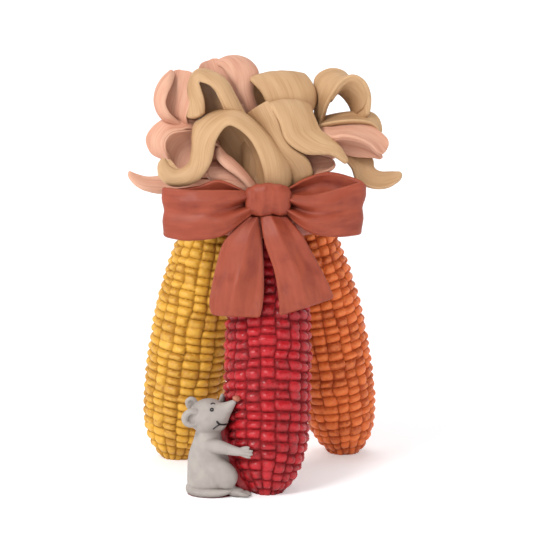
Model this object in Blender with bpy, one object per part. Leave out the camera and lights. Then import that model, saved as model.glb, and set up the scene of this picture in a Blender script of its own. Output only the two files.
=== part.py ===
"""Corn cob figurine: three painted ears of corn stood together as a tripod.

A bow ties the ears at their necks, husk leaves curl out above it, and a mouse hugs the front
ear.  Sizes below are in millimetres; MM turns them into Blender's metres.  +Z is up and the
front of the figurine faces -Y.
"""

import math

import bmesh
import bpy
from mathutils import Matrix, Vector
from mathutils.bvhtree import BVHTree

MM = 0.001

# ---- driving dimensions -------------------------------------------------------------------

CENTRE_SHIFT = (-1.2, 9.7)      # moves the tripod so that the whole model's box is centred
GAP = 0.35                      # air kept between neighbouring pieces

KERNEL_ROWS = 18
KERNEL_GROOVE = 0.07            # depth of the groove between two rows, as a share of the radius
COB_TOP = 147.5                 # height of the highest point of every neck
COB_RADIUS = 22.3
NECK_HEIGHT = 140.0             # height at which the necks below are placed

# height along the ear as a share of its length, radius as a share of COB_RADIUS
COB_PROFILE = ((0.0, 0.37), (0.03, 0.58), (0.08, 0.78), (0.16, 0.93), (0.28, 0.99),
               (0.42, 1.0), (0.58, 0.98), (0.72, 0.88), (0.86, 0.72), (1.0, 0.58))

# foot on the floor, neck at NECK_HEIGHT, outward bend at mid length, girth, colour
COBS = {
    "cob_yellow": ((-48.0, 21.5), (-26.0, 10.0), 2.6, 1.0, (0.73, 0.38, 0.07)),
    "cob_orange": ((46.0, 32.0), (20.5, 12.0), 3.4, 0.99, (0.66, 0.17, 0.05)),
    "cob_red": ((2.4, -50.0), (3.5, -19.0), 0.0, 1.02, (0.42, 0.035, 0.045)),
}

BAND_BOTTOM = 131.0
BAND_TOP = 152.0
BAND_THICKNESS = 2.2
RIBBON_THICKNESS = 2.6
LEAF_THICKNESS = 2.6

CORE_BOTTOM = 148.2
CORE_TOP = 184.0
CORE_AXIS = (-1.0, -2.0)        # the leaf bases close in towards this line

KNOT_CENTRE = (3.0, -45.3, 148.5)
KNOT_HALF = (11.6, 5.6, 8.2)

TERRACOTTA = (0.41, 0.095, 0.055)
TAN = (0.66, 0.44, 0.25)
PINK = (0.68, 0.34, 0.23)
GREY = (0.52, 0.46, 0.41)

# The bow.  Each ribbon is a pair of edges, lower and upper, or left and right, point by point.
BOW_RIBBONS = {
    "bow_loop_left": (
        ((-5, -45, 141), (-20, -48, 130.5), (-36, -48, 128), (-46, -45.5, 129), (-48.5, -41, 130),
         (-45, -37, 131), (-33, -35.5, 132), (-20, -37, 134), (-9, -40.5, 141)),
        ((-5, -44, 153), (-20, -46, 153.5), (-36, -46, 153.5), (-47, -44, 154.5), (-49, -41, 154.5),
         (-46, -37, 153.5), (-33, -35.5, 155), (-22, -37, 158), (-9, -40.5, 153))),
    "bow_loop_right": (
        ((12, -45, 141), (24, -49, 132), (37, -49, 130), (46, -46.5, 130.5), (48.5, -42, 131),
         (45, -38, 132), (33, -36, 134), (22, -37.5, 136), (13, -40.5, 142)),
        ((12, -44, 151), (24, -47, 151), (37, -47, 154), (48, -45, 157), (51, -41, 156.5),
         (47, -37, 159), (34, -35, 162), (22, -36.5, 159), (13, -40.5, 154))),
    "bow_tail_right": (
        ((-1, -47, 140), (1, -51.5, 128), (6, -53.5, 113), (8.3, -56, 99), (8.5, -57, 91)),
        ((13, -46, 140), (21, -49, 129), (28.5, -50.5, 116), (33.5, -52, 106), (36, -52.5, 99.5))),
    "bow_tail_left": (
        ((-7, -45, 140), (-19, -48, 128), (-24, -49, 112), (-26.5, -50, 98), (-25.5, -50.5, 90.5)),
        ((-1, -44, 139), (0, -48.5, 128), (0.8, -51.5, 112), (0.5, -54.5, 98), (-1, -56, 90))),
}

# The husk leaves, front ones first: colour, bulge as a share of width, then the two edges from
# root to tip.
LEAVES = {
    "husk_tan_front_left": (TAN, 0.16, (
        (2, -38, 150), (0, -39, 165), (-6, -40, 179), (-16, -41, 186), (-23, -40, 179),
        (-26, -39, 166), (-36, -38, 155.5), (-49, -37, 156), (-53.5, -36, 163)), (
        (15, -35, 150), (14, -32, 167), (4, -28, 179), (-14, -22, 192), (-33, -24, 188),
        (-36, -28, 172), (-41, -31, 163), (-48, -31, 164.5), (-52, -32, 168.5))),
    "husk_pink_inner_left": (PINK, 0.1, (
        (-5, -36, 150), (-9.2, -36, 155.5), (-15.2, -36, 161.2), (-20.4, -35, 166.7),
        (-22.8, -34, 172), (-22.6, -32, 175.4)), (
        (1, -30, 152), (-2.6, -27, 158.5), (-8.6, -24, 165.8), (-15, -24, 171.5),
        (-19.4, -26, 174.6), (-21.6, -29, 176.2))),
    "husk_pink_low_left": (PINK, 0.1, (
        (-6, -33, 151), (-18, -34, 153.5), (-28, -32, 156)), (
        (-8, -28, 159), (-18, -28, 161), (-27, -27, 164))),
    "husk_tan_front_right": (TAN, -0.09, (
        (0, -18, 165), (-5, -22, 186), (2, -30, 195), (8, -37, 188.5), (12, -39, 178),
        (22, -40, 171.5), (34, -39, 171), (43, -37, 165.5)), (
        (14, -8, 165), (18, -8, 186), (24, -16, 195.5), (27, -27, 189), (30, -30, 183),
        (36, -31, 178.5), (40, -33, 174), (43.5, -35, 168))),
    "husk_pink_low_right": (PINK, 0.1, (
        (12, -28, 153), (24, -32, 158), (32, -33, 161), (37, -32, 164)), (
        (10, -20, 166), (24, -24, 170), (33, -26, 169), (38, -28, 167))),
    "husk_tan_arch_left": (TAN, 0.16, (
        (-4, -26, 168), (-12, -27, 184), (-18, -30, 192.7), (-21, -31, 198.8), (-24, -32, 204.1),
        (-28.5, -32, 207.3), (-32.6, -32, 208), (-31.5, -31, 203), (-29.8, -30, 197),
        (-29.4, -29, 189)), (
        (6, -20, 168), (-3, -23, 184), (-8.9, -25, 192), (-13.5, -25, 200), (-18.1, -24, 207.6),
        (-23.6, -20, 211), (-31, -15, 212.2), (-37, -17, 207.5), (-38.2, -20, 199),
        (-39.4, -24, 188))),
    "husk_pink_cup_left": (PINK, 0.2, (
        (-22, -16, 181), (-35.3, -20, 187.6), (-43.1, -20, 188.2), (-50.9, -20, 188.2),
        (-56.6, -19, 184.4), (-60.2, -18, 178.6), (-58.4, -19, 172), (-53, -20, 167)), (
        (-22, -20, 174), (-35.5, -25, 183.1), (-41.1, -28, 182.8), (-46.2, -30, 181.9),
        (-49.3, -31, 178.9), (-50.1, -31, 175.2), (-49, -30, 171), (-46.8, -28, 167))),
    "husk_pink_horn_left": (PINK, 0.15, (
        (-22, -16, 149), (-50, -18, 149.5), (-60, -19, 151), (-66, -19, 154), (-70.5, -18, 159)), (
        (-22, -12, 158), (-50, -14, 159), (-60, -15, 158.5), (-66, -16, 160), (-70, -17, 162))),
    "husk_pink_curl_left": (PINK, 0.22, (
        (-40, -14, 182), (-46, -18, 187.2), (-51.4, -17, 190.8), (-53.7, -16, 196.6),
        (-53.7, -15, 202.8), (-50.6, -14, 209.2), (-46, -13, 213.6)), (
        (-38, -20, 182), (-44.4, -24, 188.3), (-47.7, -27, 191.8), (-49.6, -28, 196.5),
        (-48.5, -27, 201.1), (-46.8, -24, 205.6), (-45.2, -17, 212.2))),
    "husk_pink_right": (PINK, 0.1, (
        (18, -22, 166), (29.7, -29, 178.6), (36.4, -34, 179.2), (41.3, -35, 180),
        (47.4, -35, 179), (54.8, -33, 175.5), (61.2, -30, 168.8)), (
        (16, -12, 172), (28.9, -22, 183.6), (37, -22, 186.2), (44.7, -22, 187.3),
        (52.8, -22, 186.5), (60.9, -23, 182), (66.6, -25, 176.5))),
    "husk_tan_curl_right": (TAN, 0.16, (
        (22, -18, 168), (36, -26, 172), (45, -28, 165), (48.5, -30, 157.5), (56, -30, 153.5),
        (64, -29, 153.5), (71, -27, 157.5)), (
        (22, -8, 176), (46, -16, 180), (56.5, -20, 169), (58, -22, 163.5), (61.5, -23, 161.5),
        (67, -23, 161.5), (73, -24, 161.5))),
    "husk_tan_band_right": (TAN, 0.14, (
        (16, -18, 174), (27.6, -24, 183.6), (33.7, -26, 186.3), (42.9, -27, 187.6),
        (52.2, -26, 187.3), (58.1, -24, 184.9), (60.6, -22, 179)), (
        (14, -8, 176), (26.3, -12, 186), (32.7, -12, 189.8), (43.6, -14, 192),
        (54.9, -14, 192.3), (60, -14, 189.2), (62.6, -16, 182))),
    "husk_tan_top": (TAN, -0.1, (
        (-4, -4, 168), (-6, 0, 190), (-6.5, -4, 203), (-3.4, -14, 208.5), (1, -20, 203),
        (4, -22, 193)), (
        (14, 2, 168), (23, 6, 190), (24.6, 6, 203), (23, -3, 211), (28, -12, 203), (28, -14, 192))),
    "husk_pink_top": (PINK, 0.12, (
        (-10, -12, 165), (-11, -16, 188), (-17, -18, 203), (-22, -14, 213), (-27, -6, 217),
        (-30, 2, 213), (-31, 4, 206)), (
        (0, -8, 165), (-1, -12, 188), (-5, -12, 203), (-2, -6, 213), (-10, 6, 220),
        (-22, 12, 216), (-28, 12, 207))),
    "husk_tan_arch_right": (TAN, 0.08, (
        (18, -14, 168), (28, -17, 180), (31.3, -18, 188.8), (33.5, -21, 195.5), (37.4, -24, 203),
        (42, -24, 208.2), (47.4, -24, 210.2), (52.4, -23, 207.2), (55, -22, 201.9),
        (55.6, -21, 196), (54.5, -20, 188)), (
        (14, -6, 168), (22, -9, 180), (26.9, -10, 188.8), (27.6, -10, 195.5), (27.2, -9, 203),
        (28.4, -6, 210.4), (35, -4, 214.2), (42.4, -5, 212.4), (46, -8, 205.5), (47, -10, 197.5),
        (47.4, -12, 187))),
    "husk_tan_back_left": (TAN, 0.14, (
        (-16, 2, 158), (-26, 14, 178), (-30, 24, 190), (-33, 32, 182), (-36, 34, 170)), (
        (-4, 6, 160), (-8, 20, 182), (-10, 32, 195), (-14, 40, 185), (-18, 41, 171))),
    "husk_pink_back": (PINK, 0.12, (
        (-8, 2, 168), (-12, 8, 188), (-11, 16, 202), (-9, 28, 203), (-7, 35, 192)), (
        (8, 2, 168), (10, 9, 188), (12, 20, 201), (13, 30, 199), (13, 36, 189))),
    "husk_tan_back_right": (TAN, 0.14, (
        (2, 8, 158), (6, 22, 174), (8, 34, 183), (10, 42, 174), (12, 43, 161)), (
        (16, 4, 160), (27, 14, 176), (32, 26, 187), (34, 36, 177), (33, 39, 165))),
    "husk_pink_back_right": (PINK, 0.12, (
        (16, 0, 158), (36, 7, 166), (47, 11, 170), (55, 14, 165)), (
        (14, 4, 168), (38, 14, 180), (50, 17, 181), (58, 18, 171))),
    "husk_tan_side_left": (TAN, 0.14, (
        (-18, 2, 156), (-38, 10, 159), (-49, 16, 157), (-55, 18, 149)), (
        (-16, 6, 166), (-38, 17, 173), (-50, 21, 169), (-58, 21, 157))),
}


# ---- helpers ------------------------------------------------------------------------------

def clear_scene():
    """Start from an empty scene."""
    for obj in list(bpy.data.objects):
        bpy.data.objects.remove(obj)


def make_material(name, colour, roughness=0.5):
    """A plain painted finish in one colour."""
    material = bpy.data.materials.new(name)
    material.use_nodes = True
    shader = material.node_tree.nodes["Principled BSDF"]
    shader.inputs["Base Color"].default_value = (*colour, 1.0)
    shader.inputs["Roughness"].default_value = roughness
    shader.inputs["Metallic"].default_value = 0.0
    return material


def smooth_curve(points, count):
    """Read `count` evenly spaced places from a Catmull-Rom curve through the points."""
    knots = [Vector(p) for p in points]
    knots = [2 * knots[0] - knots[1], *knots, 2 * knots[-1] - knots[-2]]
    spans = len(knots) - 3
    result = []
    for i in range(count):
        place = spans * i / (count - 1)
        span = min(int(place), spans - 1)
        t = place - span
        a, b, c, d = knots[span:span + 4]
        result.append(0.5 * (2 * b + (c - a) * t + (2 * a - 5 * b + 4 * c - d) * t * t
                             + (3 * b - a - 3 * c + d) * t * t * t))
    return result


def skin_rings(bm, rings):
    """Join equal rings of points into one closed tube with flat ends."""
    loops = [[bm.verts.new(Vector(p) * MM) for p in ring] for ring in rings]
    size = len(loops[0])
    for low, high in zip(loops, loops[1:]):
        for i in range(size):
            j = (i + 1) % size
            bm.faces.new((low[i], low[j], high[j], high[i]))
    bm.faces.new(reversed(loops[0]))
    bm.faces.new(loops[-1])


def close_mesh(bm):
    """Triangulate, and point every face outwards."""
    bmesh.ops.triangulate(bm, faces=bm.faces)
    bmesh.ops.recalc_face_normals(bm, faces=bm.faces)
    if bm.calc_volume(signed=True) < 0:
        bmesh.ops.reverse_faces(bm, faces=bm.faces)


def add_object(name, bm, material):
    """Store the mesh as a named object with its own material."""
    mesh = bpy.data.meshes.new(name)
    bm.to_mesh(mesh)
    bm.free()
    mesh.shade_smooth()
    mesh.set_sharp_from_angle(angle=math.radians(50))
    mesh.materials.append(material)
    obj = bpy.data.objects.new(name, mesh)
    bpy.context.collection.objects.link(obj)
    return obj


def inflated_copy(obj, gap):
    """A cutter of the same shape, grown all round by the gap."""
    bm = bmesh.new()
    bm.from_mesh(obj.data)
    bm.normal_update()
    moves = [vert.normal * gap * MM * min(vert.calc_shell_factor(), 2.0) for vert in bm.verts]
    for vert, move in zip(bm.verts, moves):
        vert.co += move
    mesh = bpy.data.meshes.new("cutter_" + obj.name)
    bm.to_mesh(mesh)
    bm.free()
    cutter = bpy.data.objects.new("cutter_" + obj.name, mesh)
    cutter.hide_render = True
    cutter.display_type = "WIRE"
    bpy.context.collection.objects.link(cutter)
    return cutter


def touches(obj, other):
    """Whether the surfaces of two objects cross."""
    trees = []
    for item in (obj, other):
        bm = bmesh.new()
        bm.from_mesh(item.data)
        trees.append(BVHTree.FromBMesh(bm))
        bm.free()
    return bool(trees[0].overlap(trees[1]))


def combine(obj, other, operation):
    """Apply an exact Boolean with the other object to the first one's mesh."""
    modifier = obj.modifiers.new("combine", "BOOLEAN")
    modifier.operation = operation
    modifier.solver = "EXACT"
    modifier.object = other
    bpy.context.view_layer.update()
    graph = bpy.context.evaluated_depsgraph_get()
    result = bpy.data.meshes.new_from_object(obj.evaluated_get(graph))
    obj.modifiers.remove(modifier)
    material = obj.data.materials[0]
    obj.data = result
    obj.data.materials.clear()
    obj.data.materials.append(material)


def islands(bm):
    """The separate bodies of a mesh, as lists of vertices."""
    unseen = set(bm.verts)
    found = []
    while unseen:
        stack = [unseen.pop()]
        island = []
        while stack:
            vert = stack.pop()
            island.append(vert)
            for edge in vert.link_edges:
                near = edge.other_vert(vert)
                if near in unseen:
                    unseen.remove(near)
                    stack.append(near)
        found.append(island)
    return found


def keep_largest(obj):
    """Drop slivers that a cut left loose, and clean the seams of the cut."""
    bm = bmesh.new()
    bm.from_mesh(obj.data)
    bmesh.ops.remove_doubles(bm, verts=bm.verts, dist=0.01 * MM)
    bmesh.ops.dissolve_degenerate(bm, edges=bm.edges, dist=0.005 * MM)
    open_edges = [edge for edge in bm.edges if len(edge.link_faces) < 2]
    bmesh.ops.holes_fill(bm, edges=open_edges)
    bodies = sorted(islands(bm), key=len)
    for island in bodies[:-1]:
        bmesh.ops.delete(bm, geom=island, context="VERTS")
    close_mesh(bm)
    bm.to_mesh(obj.data)
    bm.free()


def fit_around(obj, neighbours):
    """Cut the object back wherever it would run into a neighbour."""
    for other in neighbours:
        cutter = inflated_copy(other, GAP)
        if touches(obj, cutter):
            combine(obj, cutter, "DIFFERENCE")
            keep_largest(obj)
        bpy.data.objects.remove(cutter)


# ---- ears of corn -------------------------------------------------------------------------

def cob_radius(share):
    """Radius of an ear at a share of its length, read smoothly from the profile."""
    for (t0, r0), (t1, r1) in zip(COB_PROFILE, COB_PROFILE[1:]):
        if share <= t1:
            return COB_RADIUS * (r0 + (r1 - r0) * (share - t0) / (t1 - t0))
    return COB_RADIUS * COB_PROFILE[-1][1]


def cob_line(foot, neck, bend, height):
    """Where the middle of an ear is at a height: on its straight axis, bent a little outwards."""
    outwards = Vector((*foot, 0.0)).normalized()
    base = Vector((*foot, 0.0))
    rise = (Vector((*neck, NECK_HEIGHT)) - base) * (height / NECK_HEIGHT)
    share = min(max(height / COB_TOP, 0.0), 1.0)
    return base + rise + outwards * bend * 4 * share * (1 - share)


def make_cob(name, foot, neck, bend, girth, colour):
    """An ear with fluted kernel rows, cut flat where it stands on the floor."""
    axis = (Vector((*neck, NECK_HEIGHT)) - Vector((*foot, 0.0))).normalized()
    side = axis.orthogonal().normalized()
    other = axis.cross(side)
    top = COB_TOP - cob_radius(1.0) * girth * math.sqrt(1 - axis.z ** 2)
    sunk = -4.0
    stations = (sunk / top, 0.0, 0.03, 0.08, 0.15, 0.25, 0.38, 0.52, 0.64, 0.75, 0.86, 1.0)
    rings = []
    for share in stations:
        radius = cob_radius(max(share, 0.0)) * girth
        ring = []
        for i in range(2 * KERNEL_ROWS):
            angle = math.pi * i / KERNEL_ROWS
            reach = radius * (1 - KERNEL_GROOVE * (i % 2))
            ring.append(cob_line(foot, neck, bend, share * top)
                        + (side * math.cos(angle) + other * math.sin(angle)) * reach)
        rings.append(ring)
    bm = bmesh.new()
    skin_rings(bm, rings)
    geometry = bm.verts[:] + bm.edges[:] + bm.faces[:]
    cut = bmesh.ops.bisect_plane(bm, geom=geometry, plane_co=(0, 0, 0), plane_no=(0, 0, 1),
                                 clear_inner=True)
    rim = [item for item in cut["geom_cut"] if isinstance(item, bmesh.types.BMEdge)]
    bmesh.ops.contextual_create(bm, geom=rim)
    close_mesh(bm)
    return add_object(name, bm, make_material(name, colour, 0.45))


# ---- bow ----------------------------------------------------------------------------------

def neck_circles(height):
    """Centre and radius of each neck at a height."""
    circles = []
    for foot, neck, bend, girth, _ in COBS.values():
        centre = cob_line(foot, neck, bend, height)
        share = height / COB_TOP
        circles.append((centre.x, centre.y, cob_radius(share) * girth + 1.0))
    return circles


def band_outline(height, offset, count=40):
    """A string pulled tight round the three necks, as points by the angle of its normal."""
    outline = []
    for i in range(count):
        angle = 2 * math.pi * i / count
        nx = math.cos(angle)
        ny = math.sin(angle)
        x, y, r = max(neck_circles(height), key=lambda c: c[0] * nx + c[1] * ny + c[2])
        outline.append((x + (r + offset) * nx, y + (r + offset) * ny, height))
    return outline


def make_band():
    """The ribbon round the three necks."""
    bm = bmesh.new()
    levels = (BAND_BOTTOM, BAND_TOP)
    inner = [[bm.verts.new(Vector(p) * MM) for p in band_outline(z, GAP)] for z in levels]
    outer = [[bm.verts.new(Vector(p) * MM) for p in band_outline(z, GAP + BAND_THICKNESS)]
             for z in levels]
    size = len(inner[0])
    for i in range(size):
        j = (i + 1) % size
        bm.faces.new((outer[0][i], outer[0][j], outer[1][j], outer[1][i]))
        bm.faces.new((inner[0][j], inner[0][i], inner[1][i], inner[1][j]))
        bm.faces.new((outer[1][i], outer[1][j], inner[1][j], inner[1][i]))
        bm.faces.new((outer[0][j], outer[0][i], inner[0][i], inner[0][j]))
    close_mesh(bm)
    return add_object("bow_band", bm, make_material("bow_band", TERRACOTTA))


def make_knot():
    """The rounded barrel of ribbon that covers the middle of the bow."""
    centre = Vector(KNOT_CENTRE)
    half = Vector(KNOT_HALF)
    rings = []
    for u in (-0.97, -0.8, -0.45, 0.0, 0.45, 0.8, 0.97):
        swell = (1 - abs(u) ** 3.2) ** (1 / 3.2)
        ring = []
        for i in range(16):
            angle = 2 * math.pi * i / 16
            c = math.cos(angle)
            s = math.sin(angle)
            reach = (abs(c) ** 2.6 + abs(s) ** 2.6) ** (-1 / 2.6) * swell
            ring.append(centre + Vector((half.x * u, half.y * reach * c, half.z * reach * s)))
        rings.append(ring)
    bm = bmesh.new()
    skin_rings(bm, rings)
    close_mesh(bm)
    return add_object("bow_knot", bm, make_material("bow_knot", TERRACOTTA))


# ---- ribbons and leaves -------------------------------------------------------------------

# half of the cross-section of a ribbon: place across the width, share of the half thickness
SECTION = ((-1.0, 0.0), (-0.86, 1.0), (-0.3, 1.0), (0.3, 1.0), (0.86, 1.0),
           (1.0, 0.0), (0.86, -1.0), (0.3, -1.0), (-0.3, -1.0), (-0.86, -1.0))


def make_ribbon(name, edge_a, edge_b, thickness, bulge, material, count):
    """A thick strip between two edges, bulging to one side, with rounded sides and tip."""
    line_a = smooth_curve(edge_a, count)
    line_b = smooth_curve(edge_b, count)
    middle = [(a + b) / 2 for a, b in zip(line_a, line_b)]
    rings = []
    for i, (a, b) in enumerate(zip(line_a, line_b)):
        along = (middle[min(i + 1, count - 1)] - middle[max(i - 1, 0)]).normalized()
        across = (b - a) / 2
        normal = across.cross(along).normalized()
        taper = 0.45 if i == count - 1 else 1.0
        ring = []
        for s, h in SECTION:
            lift = bulge * across.length * 2 * (1 - s * s)
            ring.append(middle[i] + across * s + normal * (lift + h * taper * thickness / 2))
        rings.append(ring)
    bm = bmesh.new()
    skin_rings(bm, rings)
    close_mesh(bm)
    return add_object(name, bm, material)


def make_core():
    """The bundled leaf bases above the three necks."""
    rings = []
    steps = 7
    for i in range(steps):
        t = i / (steps - 1)
        height = CORE_BOTTOM + (CORE_TOP - CORE_BOTTOM) * t
        shrink = math.cos(math.pi / 2 * 0.86 * t)
        outline = band_outline(BAND_TOP, -3.0, 24)
        cx, cy = CORE_AXIS
        rings.append([(cx + (x - cx) * shrink, cy + (y - cy) * shrink, height)
                      for x, y, _ in outline])
    bm = bmesh.new()
    skin_rings(bm, rings)
    close_mesh(bm)
    return add_object("husk_core", bm, make_material("husk_core", TAN))


# ---- mouse --------------------------------------------------------------------------------

def ellipsoid(centre, radii, turn=(0, 0, 0), detail=(12, 8)):
    """A rounded body, turned by angles in degrees about X, Y and Z."""
    bm = bmesh.new()
    bmesh.ops.create_uvsphere(bm, u_segments=detail[0], v_segments=detail[1], radius=1.0)
    rotation = Matrix.LocRotScale(Vector(centre) * MM,
                                  Matrix.Rotation(math.radians(turn[2]), 3, "Z")
                                  @ Matrix.Rotation(math.radians(turn[1]), 3, "Y")
                                  @ Matrix.Rotation(math.radians(turn[0]), 3, "X"),
                                  Vector(radii) * MM)
    bmesh.ops.transform(bm, matrix=rotation, verts=bm.verts)
    return bm


def limb(points, radii, sides=8):
    """A tapered limb through the points, with small flat ends."""
    bm = bmesh.new()
    path = [Vector(p) for p in points]
    rings = []
    for i, centre in enumerate(path):
        along = (path[min(i + 1, len(path) - 1)] - path[max(i - 1, 0)]).normalized()
        side = along.cross(Vector((0, 0, 1)))
        if side.length < 0.2:
            side = along.cross(Vector((0, 1, 0)))
        side.normalize()
        up = side.cross(along)
        rings.append([centre + (side * math.cos(2 * math.pi * k / sides)
                                + up * math.sin(2 * math.pi * k / sides)) * radii[i]
                      for k in range(sides)])
    skin_rings(bm, rings)
    close_mesh(bm)
    return bm


TAIL_STEPS = 12
TAIL_PATH = ((-15.5, -63.6, 3.8), (-21, -64.6, 3.2), (-29, -63, 2.7), (-35.6, -57.5, 2.6),
             (-37, -50, 2.6), (-34, -42.5, 2.6))


def make_mouse():
    """The mouse as one casting: body, head, ears, arms, thigh and foot."""
    material = make_material("mouse", GREY, 0.55)
    body_path = ((-27, -52, 0), (-27, -52, 2.5), (-26.5, -52, 9), (-27.5, -52, 17),
                 (-28.3, -52, 24), (-28.3, -52.5, 32), (-28, -53, 38))
    body = add_object("mouse", limb(body_path, (10, 11.2, 12, 10.8, 8.3, 6, 4), 16), material)
    shapes = {
        "head": ellipsoid((-27.3, -53.5, 39.3), (10.6, 9.2, 9.4), (0, -20, 0), (16, 10)),
        "muzzle": limb(((-26, -54, 39.5), (-21, -55.2, 42), (-17, -56.2, 44.2),
                        (-14.6, -56.8, 45.6), (-13.6, -57, 46.2)), (8.8, 6.8, 4.4, 2.8, 1.4), 12),
        "ear_near": ellipsoid((-36, -59, 40), (5.2, 2.2, 5.2), (0, 0, -35)),
        "ear_far": ellipsoid((-34.6, -49, 45.6), (4.4, 2.4, 4.6), (0, 0, 25)),
        "arm_near": limb(((-27, -58, 24.5), (-22, -60.5, 25), (-16, -63.5, 23.8),
                          (-11, -65.3, 22.8), (-7.5, -66.5, 22.4), (-5.8, -66.3, 22)),
                         (3.5, 4.3, 3.2, 2.6, 2.7, 1.4)),
        "arm_far": limb(((-27, -47, 28), (-23, -44, 36), (-21.2, -44, 43), (-20.6, -45, 48),
                         (-20.4, -45, 50.5)), (4, 3.2, 2.6, 2.2, 1.2)),
        "thigh": ellipsoid((-20.6, -58, 9.6), (7, 6.2, 8.6)),
        "foot": ellipsoid((-12.2, -60.5, 1.6), (6.8, 4.2, 3.2)),
    }
    for name, bm in shapes.items():
        close_mesh(bm)
        shape = add_object(name, bm, material)
        combine(body, shape, "UNION")
        bpy.data.objects.remove(shape)
    bm = bmesh.new()
    bm.from_mesh(body.data)
    cut = bmesh.ops.bisect_plane(bm, geom=bm.verts[:] + bm.edges[:] + bm.faces[:],
                                 plane_co=(0, 0, 0.0), plane_no=(0, 0, 1), clear_inner=True)
    rim = [item for item in cut["geom_cut"] if isinstance(item, bmesh.types.BMEdge)]
    if any(len(edge.link_faces) < 2 for edge in rim):
        bmesh.ops.holes_fill(bm, edges=[e for e in bm.edges if len(e.link_faces) < 2])
    bm.to_mesh(body.data)
    bm.free()
    keep_largest(body)
    return body


def make_tail():
    """The tail, lying round the foot of the body."""
    path = smooth_curve(TAIL_PATH, TAIL_STEPS)
    radii = [1.1 + 1.2 * math.sin(math.pi * (0.2 + 0.6 * i / (TAIL_STEPS - 1)))
             for i in range(TAIL_STEPS)]
    return add_object("mouse_tail", limb(path, radii), make_material("mouse_tail", GREY))


def make_nose():
    """The small round nose at the tip of the muzzle."""
    bm = ellipsoid((-12.8, -57.5, 49.0), (2.1, 1.9, 1.8))
    close_mesh(bm)
    return add_object("mouse_nose", bm, make_material("mouse_nose", TERRACOTTA))


# ---- build --------------------------------------------------------------------------------

def main():
    clear_scene()
    bundle = bpy.data.objects.new("bundle", None)
    bpy.context.collection.objects.link(bundle)

    placed = [make_cob(name, *values) for name, values in COBS.items()]
    placed.append(make_band())
    placed.append(make_knot())
    for name, (edge_a, edge_b) in BOW_RIBBONS.items():
        ribbon = make_ribbon(name, edge_a, edge_b, RIBBON_THICKNESS, 0.0,
                             make_material(name, TERRACOTTA), 3 * len(edge_a) - 2)
        fit_around(ribbon, placed)
        placed.append(ribbon)
    for piece in (make_tail(), make_mouse(), make_nose(), make_core()):
        fit_around(piece, placed)
        placed.append(piece)
    for name, (colour, bulge, edge_a, edge_b) in LEAVES.items():
        leaf = make_ribbon(name, edge_a, edge_b, LEAF_THICKNESS, bulge,
                           make_material(name, colour, 0.6), 2 * len(edge_a) + 1)
        fit_around(leaf, placed)
        placed.append(leaf)

    for piece in placed:
        piece.parent = bundle
    bundle.location = (CENTRE_SHIFT[0] * MM, CENTRE_SHIFT[1] * MM, 0.0)
    bpy.context.view_layer.update()


main()
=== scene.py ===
import math

import bmesh
import bpy
import numpy as np
from mathutils import Matrix, Vector
from mathutils.bvhtree import BVHTree


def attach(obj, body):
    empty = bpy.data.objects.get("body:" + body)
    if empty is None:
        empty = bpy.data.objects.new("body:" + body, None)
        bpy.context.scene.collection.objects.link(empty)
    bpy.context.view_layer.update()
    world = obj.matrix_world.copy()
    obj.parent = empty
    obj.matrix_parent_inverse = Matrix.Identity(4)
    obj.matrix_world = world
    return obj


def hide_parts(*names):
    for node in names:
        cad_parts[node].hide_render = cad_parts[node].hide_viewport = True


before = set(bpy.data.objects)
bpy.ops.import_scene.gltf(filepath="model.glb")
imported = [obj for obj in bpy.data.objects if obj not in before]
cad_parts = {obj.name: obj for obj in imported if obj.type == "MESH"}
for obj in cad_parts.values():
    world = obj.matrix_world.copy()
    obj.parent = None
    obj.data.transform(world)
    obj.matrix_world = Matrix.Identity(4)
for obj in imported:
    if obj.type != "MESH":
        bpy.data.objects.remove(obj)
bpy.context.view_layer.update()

# Corn cob figurine: three painted resin ears under curled husk leaves, a bow and a mouse.
# Shapes are in millimetres about the middle of the tripod, which stands at tripod in the frame,
# and mm turns them into metres.
mm = 0.001
tripod = np.array((-1.2, 9.7, 0.0))


# colours and shader nodes

def linear(code):
    parts = [int(code[i:i + 2], 16) / 255 for i in (1, 3, 5)]
    return tuple(c / 12.92 if c < 0.04045 else ((c + 0.055) / 1.055) ** 2.4 for c in parts) + (1.0,)


def addNode(tree, kind, settings=None, inputs=None):
    # inputs holds values to set, or sockets to link, by the socket's name or number
    node = tree.nodes.new(kind)
    for key, value in (settings or {}).items():
        setattr(node, key, value)
    for key, value in (inputs or {}).items():
        if isinstance(value, bpy.types.NodeSocket):
            tree.links.new(value, node.inputs[key])
        else:
            node.inputs[key].default_value = value
    return node


def newMaterial(name, roughness):
    material = bpy.data.materials.new(name)
    material.use_nodes = True
    shader = material.node_tree.nodes["Principled BSDF"]
    shader.inputs["Roughness"].default_value = roughness
    shader.inputs["IOR"].default_value = 1.5   # resin, paint and paper are all close to this
    return material, material.node_tree, shader


def blendColour(tree, factor, first, second):
    mix = addNode(tree, "ShaderNodeMix", {"data_type": "RGBA"}, {0: factor, 6: first, 7: second})
    return mix.outputs[2]


def ramp(tree, value, low, high, toLow=0.0, toHigh=1.0):
    node = addNode(tree, "ShaderNodeMapRange", {"interpolation_type": "SMOOTHSTEP"},
                   {0: value, 1: low, 2: high, 3: toLow, 4: toHigh})
    return node.outputs[0]


def attribute(tree, name):
    return addNode(tree, "ShaderNodeAttribute", {"attribute_name": name}).outputs["Fac"]


def crevice(tree, reach):
    # how open a place is within reach mm: 1 outside, 0 deep in a fold; the paints use it for painted shade
    # in the folds, together with the wash that settles there
    return addNode(tree, "ShaderNodeAmbientOcclusion", {"samples": 6},
                   {"Distance": reach * mm}).outputs["AO"]


def mottle(tree, size, detail=3.0):
    # uneven hand painting; size is the width of a patch in millimetres
    place = addNode(tree, "ShaderNodeTexCoord").outputs["Object"]
    noise = addNode(tree, "ShaderNodeTexNoise", None,
                    {"Vector": place, "Scale": 1 / (size * mm), "Detail": detail})
    return noise.outputs[0]


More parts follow.
